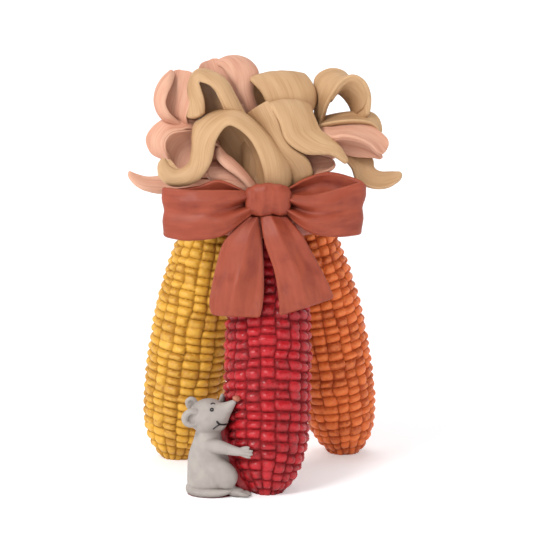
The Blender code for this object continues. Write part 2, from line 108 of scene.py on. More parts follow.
# repeatable noise for the modelled surfaces

def lattice(x, y, seed):
    # smooth noise from -1 to 1 that changes over a distance of 1
    cells = 256
    table = np.random.RandomState(seed).uniform(-1, 1, (cells, cells))
    x0 = np.floor(x).astype(int)
    y0 = np.floor(y).astype(int)
    fx = x - x0
    fy = y - y0
    fx = fx * fx * (3 - 2 * fx)
    fy = fy * fy * (3 - 2 * fy)
    xa = x0 % cells
    xb = (x0 + 1) % cells
    ya = y0 % cells
    yb = (y0 + 1) % cells
    low = table[xa, ya] * (1 - fx) + table[xb, ya] * fx
    high = table[xa, yb] * (1 - fx) + table[xb, yb] * fx
    return low * (1 - fy) + high * fy


def layered(x, y, seed, layers=3):
    # each layer is half as large and half as strong as the one before
    total = 0
    for i in range(layers):
        total = total + lattice(x * 2 ** i, y * 2 ** i, seed + i) / 2 ** i
    return total / 1.75   # the weights of three layers add up to this


# meshes from grids of points

def storeMesh(name, points, faces, marks, material, nodes):
    mesh = bpy.data.meshes.new(name)
    mesh.from_pydata((np.asarray(points) + tripod) * mm, [], faces)
    for key, values in marks.items():
        layer = mesh.attributes.new(key, "FLOAT", "POINT")
        layer.data.foreach_set("value", np.asarray(values, dtype=np.float32).ravel())
    mesh.shade_smooth()
    mesh.materials.append(material)
    mesh.validate()
    piece = bpy.data.objects.new(name, mesh)
    bpy.context.collection.objects.link(piece)
    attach(piece, "root")
    if nodes:
        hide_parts(*nodes)
    return piece


def aroundFaces(rows, cols):
    index = np.arange(rows * cols).reshape(rows, cols)
    right = np.roll(index, -1, axis=1)
    return np.stack((index[:-1], right[:-1], right[1:], index[1:]), axis=-1).reshape(-1, 4).tolist()


def tubeFaces(rows, cols):
    # the sides of a tube, and a face over each end
    ends = [list(range(cols))[::-1], [(rows - 1) * cols + i for i in range(cols)]]
    return aroundFaces(rows, cols) + ends


def outward(piece):
    # turns every face to the outside
    bm = bmesh.new()
    bm.from_mesh(piece.data)
    bmesh.ops.recalc_face_normals(bm, faces=bm.faces)
    if bm.calc_volume(signed=True) < 0:
        bmesh.ops.reverse_faces(bm, faces=bm.faces)
    bm.to_mesh(piece.data)
    bm.free()
    return piece


def smoothLine(points, count):
    # a Catmull-Rom curve through the points, read at evenly spaced places
    knots = np.array(points, dtype=float)
    knots = np.vstack((2 * knots[0] - knots[1], knots, 2 * knots[-1] - knots[-2]))
    place = np.linspace(0, len(knots) - 3 - 1e-9, count)
    span = place.astype(int)
    t = (place - span)[:, None]
    a, b, c, d = (knots[span + i] for i in range(4))
    return 0.5 * (2 * b + (c - a) * t + (2 * a - 5 * b + 4 * c - d) * t ** 2
                  + (3 * b - a - 3 * c + d) * t ** 3)


def unit(vectors):
    return vectors / np.maximum(np.linalg.norm(vectors, axis=-1, keepdims=True), 1e-9)


# the camera, the floor and the light

studio = {
    "camera": (0.95, -740.3, 195.0),      # mm, level with the husk leaves
    "downTilt": 6.5,                      # degrees
    "fieldOfView": 21.5,
    "floorRadius": 1.6, "floorRings": 40, "floorSides": 96,   # metres
    "flatShare": 0.55, "rimRise": 1.5, "rimCurve": 2.5,
    "floorColour": "#f4f4f5", "floorGlow": 0.25,
    # each lamp's name, place in metres, size in metres and power in watts
    "lamps": (("keyLamp", (-0.8, -0.9, 1.2), 0.5, 17.0), ("fillLamp", (1.0, -0.9, 0.6), 1.0, 1.5),
              ("topLamp", (0.1, 0.3, 1.5), 0.8, 6.0)),
    "lampAim": (0, 0, 0.1),
    "sky": 0.3,
}


def buildStudio():
    camera = bpy.data.objects.new("camera", bpy.data.cameras.new("camera"))
    camera.location = Vector(studio["camera"]) * mm
    camera.rotation_euler = (math.radians(90 - studio["downTilt"]), 0, 0)
    camera.data.angle = math.radians(studio["fieldOfView"])
    camera.data.clip_start = 0.01
    bpy.context.collection.objects.link(camera)
    bpy.context.scene.camera = camera

    # a round floor that sweeps up into a pale wall, so no horizon shows from any side
    bm = bmesh.new()
    rings = []
    sides = studio["floorSides"]
    for t in np.linspace(0, 1, studio["floorRings"]):
        reach = studio["floorRadius"] * (0.01 + 1.2 * t)
        climb = max(0.0, (t - studio["flatShare"]) / (1 - studio["flatShare"]))
        rise = studio["rimRise"] * climb ** studio["rimCurve"]
        rings.append([bm.verts.new((reach * math.cos(a), reach * math.sin(a), rise))
                      for a in np.linspace(0, 2 * math.pi, sides, endpoint=False)])
    for low, high in zip(rings, rings[1:]):
        for i in range(sides):
            bm.faces.new((low[i - 1], low[i], high[i], high[i - 1]))
    bm.faces.new(rings[0])
    bmesh.ops.recalc_face_normals(bm, faces=bm.faces)
    mesh = bpy.data.meshes.new("studioFloor")
    bm.to_mesh(mesh)
    bm.free()
    mesh.shade_smooth()
    # matte paper with a faint glow, which keeps the floor as pale as the wall
    material, tree, shader = newMaterial("mattePaper", 0.9)
    shader.inputs["Base Color"].default_value = linear(studio["floorColour"])
    shader.inputs["Emission Color"].default_value = (1, 1, 1, 1)
    shader.inputs["Emission Strength"].default_value = studio["floorGlow"]
    mesh.materials.append(material)
    floor = bpy.data.objects.new("studioFloor", mesh)
    bpy.context.collection.objects.link(floor)

    for name, place, size, power in studio["lamps"]:
        lamp = bpy.data.objects.new(name, bpy.data.lights.new(name, "AREA"))
        lamp.data.size = size
        lamp.data.energy = power
        lamp.location = place
        aim = Vector(studio["lampAim"]) - Vector(place)
        lamp.rotation_euler = aim.to_track_quat("-Z", "Y").to_euler()
        bpy.context.collection.objects.link(lamp)

    world = bpy.data.worlds.new("softRoom")
    world.use_nodes = True
    world.node_tree.nodes["Background"].inputs["Color"].default_value = (1, 1, 1, 1)
    world.node_tree.nodes["Background"].inputs["Strength"].default_value = studio["sky"]
    bpy.context.scene.world = world
    bpy.context.scene.view_settings.view_transform = "Standard"


buildStudio()
print("studio ready")


# ears of corn

earSize = {
    "radius": 22.3, "top": 147.5, "neckHeight": 140.0, "cut": 2.0,   # cut is hidden under the bow
    "relief": 2.5, "thinRelief": 0.45,   # mm, and the share of it left where an ear is thinnest
    "crown": 0.86,                       # the height of a kernel, 0 to 1, that lies on the shell
    "uneven": 0.22, "start": 0.6,        # mm, and how far under the floor the first kernels begin
    "around": 288, "up": 338,
    # share of the height, then share of the radius; soften rounds the profile's corners
    "soften": 0.02,
    "profile": ((0.0, 0.37), (0.03, 0.58), (0.08, 0.78), (0.16, 0.93), (0.28, 0.99),
                (0.42, 1.0), (0.58, 0.98), (0.72, 0.88), (0.86, 0.72), (1.0, 0.58)),
}
kernelShape = {
    "wander": 0.17, "wanderLength": 7.5,        # how far a column strays, in columns, and in how many mm
    "jolt": 0.13, "drift": 0.38,                # how far a kernel's end strays, as shares of the pitch
    "sidePower": (2.5, 0.6), "sideDepth": 0.9,  # how rounded the sides are, and how deep they meet
    "endPower": (2.0, 0.7), "endDepth": 1.0,
    "tightSides": (0.08, 0.35), "tightEnds": (0.05, 0.45),   # a few seams nearly close: share, depth
    "corner": 0.28,
    "growth": 0.10, "leanAcross": 0.30, "leanAlong": 0.26,   # how much the kernels differ in height
}
# foot and neck are where an ear's axis meets the floor and the neck, and pitch is a kernel's length
ears = {
    "yellowEar": {"node": "cob_yellow", "foot": (-47.5, 21.3), "neck": (-26.0, 10.0), "bend": 2.6,
                  "girth": 1.03, "columns": 16, "pitch": 4.7, "seed": 11, "phase": 0.2, "gloss": 0.42,
                  "light": "#e1b048", "body": "#d09a31", "deep": "#b07a22", "wash": "#805616"},
    "orangeEar": {"node": "cob_orange", "foot": (46.0, 32.0), "neck": (20.5, 12.0), "bend": 3.4,
                  "girth": 0.99, "columns": 17, "pitch": 5.0, "seed": 23, "phase": 0.5, "gloss": 0.42,
                  "light": "#e8823f", "body": "#d4662d", "deep": "#ac491b", "wash": "#782b0e"},
    "redEar": {"node": "cob_red", "foot": (2.4, -50.0), "neck": (3.5, -19.0), "bend": 0.0,
               "girth": 1.02, "columns": 18, "pitch": 5.15, "seed": 37, "phase": 0.0, "gloss": 0.32,
               "light": "#bd2129", "body": "#9c0e17", "deep": "#7a080f", "wash": "#50060b"},
}


def earMiddle(ear, height):
    foot = np.array((*ear["foot"], 0.0))
    neck = np.array((*ear["neck"], earSize["neckHeight"]))
    away = unit(foot)
    share = np.clip(height / earSize["top"], 0, 1)[..., None]
    rise = (height / earSize["neckHeight"])[..., None]
    return foot + (neck - foot) * rise + away * ear["bend"] * 4 * share * (1 - share)


def earRadius(ear, height):
    share, size = zip(*earSize["profile"])
    spread = np.linspace(-earSize["soften"], earSize["soften"], 9)
    places = np.clip((height / earSize["top"])[..., None] + spread, 0, 1)
    return np.interp(places, share, size).mean(axis=-1) * earSize["radius"] * ear["girth"]


def kernelPattern(ear, turn, climb):
    # turn is 0 to 1 round the ear and climb is mm along it; gives each point's height 0 to 1,
    # how deep in a groove it lies, and its kernel's own tone
    rng = np.random.RandomState(ear["seed"])
    pitch = ear["pitch"]
    columns = ear["columns"]
    rings = int(climb.max() / pitch) + 4
    jolt = rng.uniform(-1, 1, (rings + 2, columns))
    tones = rng.uniform(-1, 1, (rings + 2, columns, 6))
    seam = rng.uniform(0, 1, (2, rings + 2, columns))

    # columns run up the ear with a slight wander
    place = turn * columns + ear["phase"]

    def columnEdge(j):
        stray = lattice(climb / kernelShape["wanderLength"], (j % columns) * 1.7 + 0.5, ear["seed"] + 1)
        return j + kernelShape["wander"] * stray

    j = np.floor(place).astype(int)
    j = np.where(place < columnEdge(j), j - 1, j)
    j = np.where(place >= columnEdge(j + 1), j + 1, j)
    low = columnEdge(j)
    u = np.clip((place - low) / (columnEdge(j + 1) - low), 0, 1)
    column = j % columns

    # the kernels of neighbouring columns nearly line up
    def ringEdge(k):
        drift = lattice(k / 5.0 + 3, column * 0.55, ear["seed"] + 2)
        return (k - 1 + kernelShape["jolt"] * jolt[k, column] + kernelShape["drift"] * drift) * pitch

    k = np.clip(np.floor(climb / pitch).astype(int) + 1, 1, rings)
    k = np.where(climb < ringEdge(k), k - 1, k)
    k = np.clip(np.where(climb >= ringEdge(np.minimum(k + 1, rings + 1)), k + 1, k), 0, rings)
    low = ringEdge(k)
    v = np.clip((climb - low) / (ringEdge(k + 1) - low), 0, 1)

    tone = tones[k, column]
    sideSeam = seam[0, k, np.where(u > 0.5, (column + 1) % columns, column)]
    endSeam = seam[1, np.where(v > 0.5, k + 1, k), column]
    a = np.abs(2 * u - 1)
    b = np.abs(2 * v - 1)

    def rounded(place, power, depth, seamDraw, tight):
        slope = 1 - (1 - place ** power[0]) ** power[1]
        return 1 - slope * np.where(seamDraw < tight[0], tight[1], depth)

    sides = rounded(a, kernelShape["sidePower"], kernelShape["sideDepth"], sideSeam,
                    kernelShape["tightSides"])
    ends = rounded(b, kernelShape["endPower"], kernelShape["endDepth"], endSeam,
                   kernelShape["tightEnds"])
    pillow = sides * ends * (1 - kernelShape["corner"] * (a * b) ** 3)
    lean = (1 + kernelShape["growth"] * tone[..., 0]
            + kernelShape["leanAcross"] * tone[..., 1] * (u - 0.5)
            + kernelShape["leanAlong"] * tone[..., 2] * (v - 0.5))
    return pillow * lean, 1 - pillow, tone[..., 3]


def earMaterial(name, ear):
    # cast resin, hand painted and washed: satin kernels with dark paint left in the grooves
    material, tree, shader = newMaterial("paintedResin" + name[0].upper() + name[1:], ear["gloss"])
    shader.inputs["Specular IOR Level"].default_value = 0.36
    groove = attribute(tree, "groove")
    tone = ramp(tree, attribute(tree, "tone"), -1.0, 1.0)
    patch = mottle(tree, 2.2)   # dabs of paint about half a kernel long
    colour = blendColour(tree, ramp(tree, tone, 0.0, 0.8), linear(ear["deep"]), linear(ear["body"]))
    colour = blendColour(tree, ramp(tree, patch, 0.42, 0.72, 0.0, 0.55), colour, linear(ear["light"]))
    # brushed highlights stay on the crowns of the kernels
    crown = ramp(tree, groove, 0.3, 0.03, 0.0, 0.4)
    colour = blendColour(tree, crown, colour, linear(ear["light"]))
    wash = ramp(tree, groove, 0.4, 1.0, 0.0, 0.75)
    colour = blendColour(tree, wash, colour, linear(ear["wash"]))
    # painted shade, together with the wash: the ears darken towards the wash colour deep among other
    # surfaces
    recessShade = ramp(tree, crevice(tree, 12), 0.65, 0.15, 0.0, 0.45)
    colour = blendColour(tree, recessShade, colour, linear(ear["wash"]))
    tree.links.new(colour, shader.inputs["Base Color"])
    # the crowns shine, and the paint left in the grooves is dull
    rough = addNode(tree, "ShaderNodeMath", {"operation": "MAXIMUM"},
                    {0: ramp(tree, patch, 0.3, 0.7, ear["gloss"] - 0.08, ear["gloss"] + 0.12),
                     1: ramp(tree, groove, 0.15, 0.7, 0.25, 0.95)})
    tree.links.new(rough.outputs[0], shader.inputs["Roughness"])
    # brush marks a little over a millimetre wide
    bump = addNode(tree, "ShaderNodeBump", None, {"Strength": 0.35, "Distance": 0.3 * mm,
                                                  "Height": mottle(tree, 1.1, 2.0)})
    tree.links.new(bump.outputs[0], shader.inputs["Normal"])
    return material


def buildEar(name, ear):
    around = earSize["around"]
    height = np.linspace(0, earSize["top"] - earSize["cut"], earSize["up"])
    angle = np.linspace(0, 2 * math.pi, around, endpoint=False)
    middle = earMiddle(ear, height)
    radius = earRadius(ear, height)
    slope = np.gradient(radius, height)
    ring = np.stack((np.cos(angle), np.sin(angle), np.zeros(around)), axis=-1)
    shell = middle[:, None] + radius[:, None, None] * ring[None]
    normal = unit(ring[None] - slope[:, None, None] * np.array((0, 0, 1.0)))

    foot = np.array((*ear["foot"], 0.0))
    axis = unit(np.array((*ear["neck"], earSize["neckHeight"])) - foot)
    climb = (shell - foot) @ axis + earSize["start"]
    turn = np.broadcast_to(angle / (2 * math.pi), climb.shape)
    high, groove, tone = kernelPattern(ear, turn, climb)
    thin = earSize["thinRelief"]
    relief = earSize["relief"] * (thin + (1 - thin) * radius / radius.max())[:, None]
    uneven = earSize["uneven"] * layered(turn * 40, climb / 3.0, ear["seed"] + 5)
    lift = relief * (high - earSize["crown"]) + uneven * high
    points = shell + normal * lift[..., None]
    # the foot is flat on the floor
    points[..., 2] = np.maximum(points[..., 2], 0)
    points[0, :, 2] = 0

    rows = len(height)
    flat = points.reshape(-1, 3)
    ends = np.stack((points[0].mean(axis=0), points[-1].mean(axis=0)))
    faces = aroundFaces(rows, around)
    last = (rows - 1) * around
    for i in range(around):
        j = (i + 1) % around
        faces.append((rows * around, j, i))
        faces.append((rows * around + 1, last + i, last + j))
    # the two end points are half in a groove and of the middle tone
    marks = {"groove": np.append(groove.ravel(), (0.5, 0.5)), "tone": np.append(tone.ravel(), (0, 0))}
    return storeMesh(name, np.vstack((flat, ends)), faces, marks, earMaterial(name, ear),
                     [ear["node"]])


earPieces = {name: buildEar(name, ear) for name, ear in ears.items()}
print("ears ready")


# strips: the husk leaves and the bow's ribbon

def stripPiece(name, edges, thick, bulge, rows, half, shape, material, nodes, shaded=0.0,
               tipRound=1.6):
    # a strip between two edges; shape(across, along, width) gives a lift in mm off its middle
    # surface, and the tip's corners are rounded by tipRound times its thickness
    lineA = smoothLine(edges[0], rows)
    lineB = smoothLine(edges[1], rows)
    middle = (lineA + lineB) / 2
    across = (lineB - lineA) / 2
    width = np.linalg.norm(across, axis=1)
    along = np.append(0, np.cumsum(np.linalg.norm(np.diff(middle, axis=0), axis=1)))
    forward = unit(np.gradient(middle, axis=0))
    up = unit(np.cross(across, forward))

    # the tip grows narrower and thinner over its last few millimetres
    left = along[-1] - along
    corner = min(thick * tipRound, width[-1])
    inset = np.sqrt(np.clip(1 - (1 - np.minimum(left / corner, 1)) ** 2, 0.0, 1))
    narrow = 1 - (1 - inset) * corner / np.maximum(width, corner)
    thin = np.sqrt(np.clip(1 - (1 - np.minimum(left / (thick / 2), 1)) ** 2, 0.02, 1))

    # each ring goes over the top and back underneath, with its points closer near the edges
    s = -np.cos(np.linspace(0, math.pi, half + 1))
    ring = np.concatenate((s, s[-2:0:-1]))
    side = np.concatenate((np.ones(half + 1), -np.ones(half - 1)))
    side[0] = side[half] = 0
    reach = ring[None] * narrow[:, None]
    room = (1 - np.abs(ring))[None] * width[:, None]
    edge = np.minimum(room / (thick / 2), 1)
    body = np.sqrt(np.clip(1 - (1 - edge) ** 2, 0, 1)) * thick / 2 * thin[:, None]
    acrossMm = reach * width[:, None]
    alongMm = np.broadcast_to(along[:, None], acrossMm.shape)
    arch = bulge * width[:, None] * 2 * (1 - reach ** 2)
    lift = arch + shape(acrossMm, alongMm, width[:, None]) + side[None] * body
    points = middle[:, None] + across[:, None] * reach[..., None] + up[:, None] * lift[..., None]

    cols = 2 * half
    faces = aroundFaces(rows, cols)
    for start, flip in ((0, False), ((rows - 1) * cols, True)):
        for i in range(half):
            quad = [start + i, start + i + 1, start + cols - i - 1, start + (cols - i) % cols]
            quad = list(dict.fromkeys(quad))
            faces.append(quad if flip else quad[::-1])
    # painted shade: a hollow darkens from its open rim to its deep edge
    depth = np.clip((reach + 1) / 2 + 0.15, 0, 1) ** 1.3 if shaded else 0 * reach
    # the brushed rim is a little over a millimetre wide
    marks = {"across": acrossMm, "along": alongMm, "rim": np.exp(-room / 1.2) * (1 - shaded),
             "insideShade": shaded * depth}
    return outward(storeMesh(name, points.reshape(-1, 3), faces, marks, material, nodes))


def strandNoise(tree, strand, length, seed):
    # streaks that run along a leaf or ribbon; strand and length are in millimetres
    place = addNode(tree, "ShaderNodeCombineXYZ", None, {0: attribute(tree, "across"), 2: float(seed)})
    run = addNode(tree, "ShaderNodeMath", {"operation": "MULTIPLY"},
                  {0: attribute(tree, "along"), 1: strand / length})
    tree.links.new(run.outputs[0], place.inputs[1])
    return addNode(tree, "ShaderNodeTexNoise", None, {"Vector": place.outputs[0], "Scale": 1 / strand,
                                                      "Detail": 3.0}).outputs[0]


# fold and depth say how far the folds are darkened towards the deep colour and the wash colour, as painted
# shade together with the wash
huskPaints = {
    "tan": {"light": "#c29e77", "body": "#b28c64", "deep": "#966d47", "wash": "#4a2b15",
            "fold": 0.75, "depth": 0.7},
    "pink": {"light": "#d3a78d", "body": "#c18a71", "deep": "#a96c54", "wash": "#713225",
             "fold": 0.3, "depth": 0.3},
}


def huskMaterial(name, paint):
    # cast resin with matte paint: streaks along the leaf, brown wash and painted shade in the folds, pale
    # rims
    material, tree, shader = newMaterial("paintedHusk" + name.capitalize(), 0.6)
    shader.inputs["Specular IOR Level"].default_value = 0.3
    streak = strandNoise(tree, 0.7, 24, 3)    # the fibres of a husk leaf, 0.7 mm apart
    broad = strandNoise(tree, 4.5, 30, 8)     # brush strokes
    colour = blendColour(tree, ramp(tree, broad, 0.25, 0.85), linear(paint["body"]), linear(paint["light"]))
    colour = blendColour(tree, ramp(tree, streak, 0.5, 0.3, 0.0, 0.35), colour, linear(paint["deep"]))
    colour = blendColour(tree, ramp(tree, attribute(tree, "rim"), 0.2, 0.9, 0.0, 0.5), colour,
                         linear(paint["light"]))
    # painted shade on the leaves that face inwards, darkest at their deep edge
    colour = blendColour(tree, attribute(tree, "insideShade"), colour, linear(paint["wash"]))
    # painted shade, together with the wash: the folds darken with how closed in they are
    opening = crevice(tree, 16)
    colour = blendColour(tree, ramp(tree, opening, 0.85, 0.4, 0.0, paint["fold"]), colour,
                         linear(paint["deep"]))
    colour = blendColour(tree, ramp(tree, opening, 0.45, 0.05, 0.0, paint["depth"]), colour,
                         linear(paint["wash"]))
    tree.links.new(colour, shader.inputs["Base Color"])
    bump = addNode(tree, "ShaderNodeBump", None, {"Strength": 0.45, "Distance": 0.3 * mm, "Height": streak})
    tree.links.new(bump.outputs[0], shader.inputs["Normal"])
    return material


huskFinish = {name: huskMaterial(name, paint) for name, paint in huskPaints.items()}

leafSize = {
    "thick": 2.8, "rows": 110, "half": 60,
    "vein": 0.16, "veinWidth": 1.5, "veinLength": 34,   # mm
    "wave": 0.35, "waveLength": 13,                     # mm, at the edges
}
# the solid it stands for, its paint, its bulge as a share of its width, and its two edges from
# root to tip
leaves = {
    "frontLeftLeaf": ("husk_tan_front_left", "tan", 0.16, (
        (2, -38, 150), (0, -39, 165), (-6, -40, 179), (-16, -41, 186), (-23, -40, 179),
        (-26, -39, 167), (-31.5, -38.5, 158.5), (-39, -38, 155), (-47, -37, 155), (-52.5, -36.5, 159.5),
        (-53.5, -36, 167)), (
        (15, -35, 150), (14, -32, 167), (4, -28, 179), (-14, -22, 192), (-33, -24, 188),
        (-35.5, -28, 174), (-37.5, -32, 166.5), (-42.5, -34.5, 163.5), (-47, -35.5, 165.5),
        (-49.5, -35.5, 170))),
    "innerLeftLeaf": ("husk_pink_inner_left", "pink", 0.1, (
        (-5, -36, 150), (-9, -36, 156), (-13, -36, 160), (-18.7, -36, 164.3), (-22.8, -35, 168.8),
        (-23.6, -33, 174)), (
        (0, -33, 151), (-5, -32, 157), (-8.1, -31, 161), (-14, -30, 167.3), (-18.7, -30, 171),
        (-22.6, -30, 175))),
    "lowLeftLeaf": ("husk_pink_low_left", "pink", 0.1, (
        (-6, -33, 151), (-18, -34, 153.5), (-28, -32, 156)), (
        (-8, -28, 159), (-18, -28, 161), (-27, -27, 164))),
    "frontRightLeaf": ("husk_tan_front_right", "tan", -0.09, (
        (0, -18, 165), (-5, -22, 186), (2, -30, 195), (8, -37, 188.5), (12, -39, 178),
        (22, -40, 171.5), (34, -39, 171), (43, -37, 165.5)), (
        (14, -8, 165), (18, -8, 186), (24, -16, 195.5), (27, -27, 189), (30, -30, 183),
        (36, -31, 178.5), (40, -33, 174), (43.5, -35, 168))),
    "lowRightLeaf": ("husk_pink_low_right", "pink", 0.1, (
        (12, -28, 153), (24, -32, 158), (32, -33, 161), (37, -32, 164)), (
        (10, -20, 166), (24, -24, 170), (33, -26, 169), (38, -28, 167))),
    "archLeftLeaf": ("husk_tan_arch_left", "tan", 0.16, (
        (-4, -26, 168), (-12, -27, 184), (-18, -30, 192.7), (-21, -31, 198.8), (-24, -32, 204.1),
        (-28.5, -32, 207.3), (-32.6, -32, 208), (-31.5, -31, 203), (-29.8, -30, 197),
        (-29.4, -29, 189)), (
        (6, -20, 168), (-3, -23, 184), (-8.9, -25, 192), (-13.5, -25, 200), (-18.1, -24, 207.6),
        (-23.6, -20, 211), (-31, -15, 212.2), (-37, -17, 207.5), (-38.2, -20, 199),
        (-39.4, -24, 188))),
    "cupLeftLeaf": ("husk_pink_cup_left", "pink", 0.2, (
        (-22, -16, 181), (-35.3, -20, 187.6), (-43.1, -20, 188.2), (-50.9, -20, 188.2),
        (-56.6, -19, 184.4), (-60.2, -18, 178.6), (-58.4, -19, 172), (-53, -20, 167)), (
        (-22, -20, 174), (-35.5, -25, 183.1), (-41.1, -28, 182.8), (-46.2, -30, 181.9),
        (-49.3, -31, 178.9), (-50.1, -31, 175.2), (-49, -30, 171), (-46.8, -28, 167))),
    "hornLeftLeaf": ("husk_pink_horn_left", "pink", 0.15, (
        (-22, -16, 149), (-50, -18, 149.5), (-60, -19, 151), (-66, -19, 154), (-70.5, -18, 159)), (
        (-22, -12, 158), (-50, -14, 159), (-60, -15, 158.5), (-66, -16, 160), (-70, -17, 162))),
    "curlLeftLeaf": ("husk_pink_curl_left", "pink", 0.22, (
        (-40, -14, 182), (-46, -18, 187.2), (-51.4, -17, 190.8), (-53.7, -16, 196.6),
        (-53.7, -15, 202.8), (-50.6, -14, 209.2), (-46, -13, 213.6)), (
        (-38, -20, 182), (-44.4, -24, 188.3), (-47.7, -27, 191.8), (-49.6, -28, 196.5),
        (-48.5, -27, 201.1), (-46.8, -24, 205.6), (-45.2, -17, 212.2))),
    "rightLeaf": ("husk_pink_right", "pink", 0.1, (
        (18, -22, 166), (29.7, -29, 178.6), (36.4, -34, 179.2), (41.3, -35, 180), (47.4, -35, 179),
        (54.8, -33, 175.5), (61.2, -30, 168.8)), (
        (16, -12, 172), (28.9, -22, 183.6), (37, -22, 186.2), (44.7, -22, 187.3), (52.8, -22, 186.5),
        (60.9, -23, 182), (66.6, -25, 176.5))),
    "curlRightLeaf": ("husk_tan_curl_right", "tan", 0.16, (
        (22, -18, 168), (36, -26, 172), (45, -28, 165), (48.5, -30, 157.5), (56, -30, 153.5),
        (64, -29, 153.5), (71, -27, 157.5)), (
        (22, -8, 176), (46, -16, 180), (56.5, -20, 169), (58, -22, 163.5), (61.5, -23, 161.5),
        (67, -23, 161.5), (73, -24, 161.5))),
    "bandRightLeaf": ("husk_tan_band_right", "tan", 0.14, (
        (16, -18, 174), (27.6, -24, 183.6), (33.7, -26, 186.3), (42.9, -27, 187.6),
        (52.2, -26, 187.3), (58.1, -24, 184.9), (60.6, -22, 179)), (
        (14, -8, 176), (26.3, -12, 186), (32.7, -12, 189.8), (43.6, -14, 192), (54.9, -14, 192.3),
        (60, -14, 189.2), (62.6, -16, 182))),
    "topLeaf": ("husk_tan_top", "tan", -0.1, (
        (-4, -4, 168), (-6, 0, 190), (-9.5, -4, 203), (-7.5, -14, 208.7), (-1.4, -19, 203.3),
        (2, -21.5, 197), (4, -22, 192)), (
        (14, 2, 168), (23, 6, 190), (24.6, 6, 203), (23, -3, 211), (28, -12, 203),
        (28, -14, 192))),
    "topPinkLeaf": ("husk_pink_top", "pink", 0.12, (
        (-9, -12, 165), (-8, -16, 188), (-12, -18, 202), (-17, -16, 210.5), (-22, -8, 216.5),
        (-27, 2, 215), (-31, 6, 208)), (
        (0, -8, 165), (-1, -12, 188), (-5, -12, 203), (-2, -6, 213), (-10, 6, 220),
        (-22, 12, 216), (-28, 12, 207))),
    "archRightLeaf": ("husk_tan_arch_right", "tan", 0.08, (
        (18, -14, 168), (28, -17, 180), (31.3, -18, 188.8), (33.5, -21, 195.5), (37.4, -24, 203),
        (42, -24, 208.2), (47.4, -24, 210.2), (52.4, -23, 207.2), (55, -22, 201.9),
        (55.6, -21, 196), (54.5, -20, 188)), (
        (14, -6, 168), (22, -9, 180), (26.9, -10, 188.8), (27.6, -10, 195.5), (27.2, -9, 203),
        (28.4, -6, 210.4), (35, -4, 214.2), (42.4, -5, 212.4), (46, -8, 205.5),
        (47, -10, 197.5), (47.4, -12, 187))),
    "backLeftLeaf": ("husk_tan_back_left", "tan", 0.14, (
        (-16, 2, 158), (-26, 14, 178), (-30, 24, 190), (-33, 32, 182), (-36, 34, 170)), (
        (-4, 6, 160), (-8, 20, 182), (-10, 32, 195), (-14, 40, 185), (-18, 41, 171))),
    "backPinkLeaf": ("husk_pink_back", "pink", 0.12, (
        (-8, 2, 168), (-12, 8, 188), (-11, 16, 202), (-9, 28, 203), (-7, 35, 192)), (
        (8, 2, 168), (10, 9, 188), (12, 20, 201), (13, 30, 199), (13, 36, 189))),
    "backRightLeaf": ("husk_tan_back_right", "tan", 0.14, (
        (2, 8, 158), (6, 22, 174), (8, 34, 183), (10, 42, 174), (12, 43, 161)), (
        (16, 4, 160), (27, 14, 176), (32, 26, 187), (34, 36, 177), (33, 39, 165))),
    "backRightPinkLeaf": ("husk_pink_back_right", "pink", 0.12, (
        (16, 0, 158), (36, 7, 166), (47, 11, 170), (55, 14, 165)), (
        (14, 4, 168), (38, 14, 180), (50, 17, 181), (58, 18, 171))),
    "sideLeftLeaf": ("husk_tan_side_left", "tan", 0.14, (
        (-18, 2, 156), (-38, 10, 159), (-49, 16, 157), (-55, 18, 149)), (
        (-16, 6, 166), (-38, 17, 173), (-50, 21, 169), (-58, 21, 157))),
}
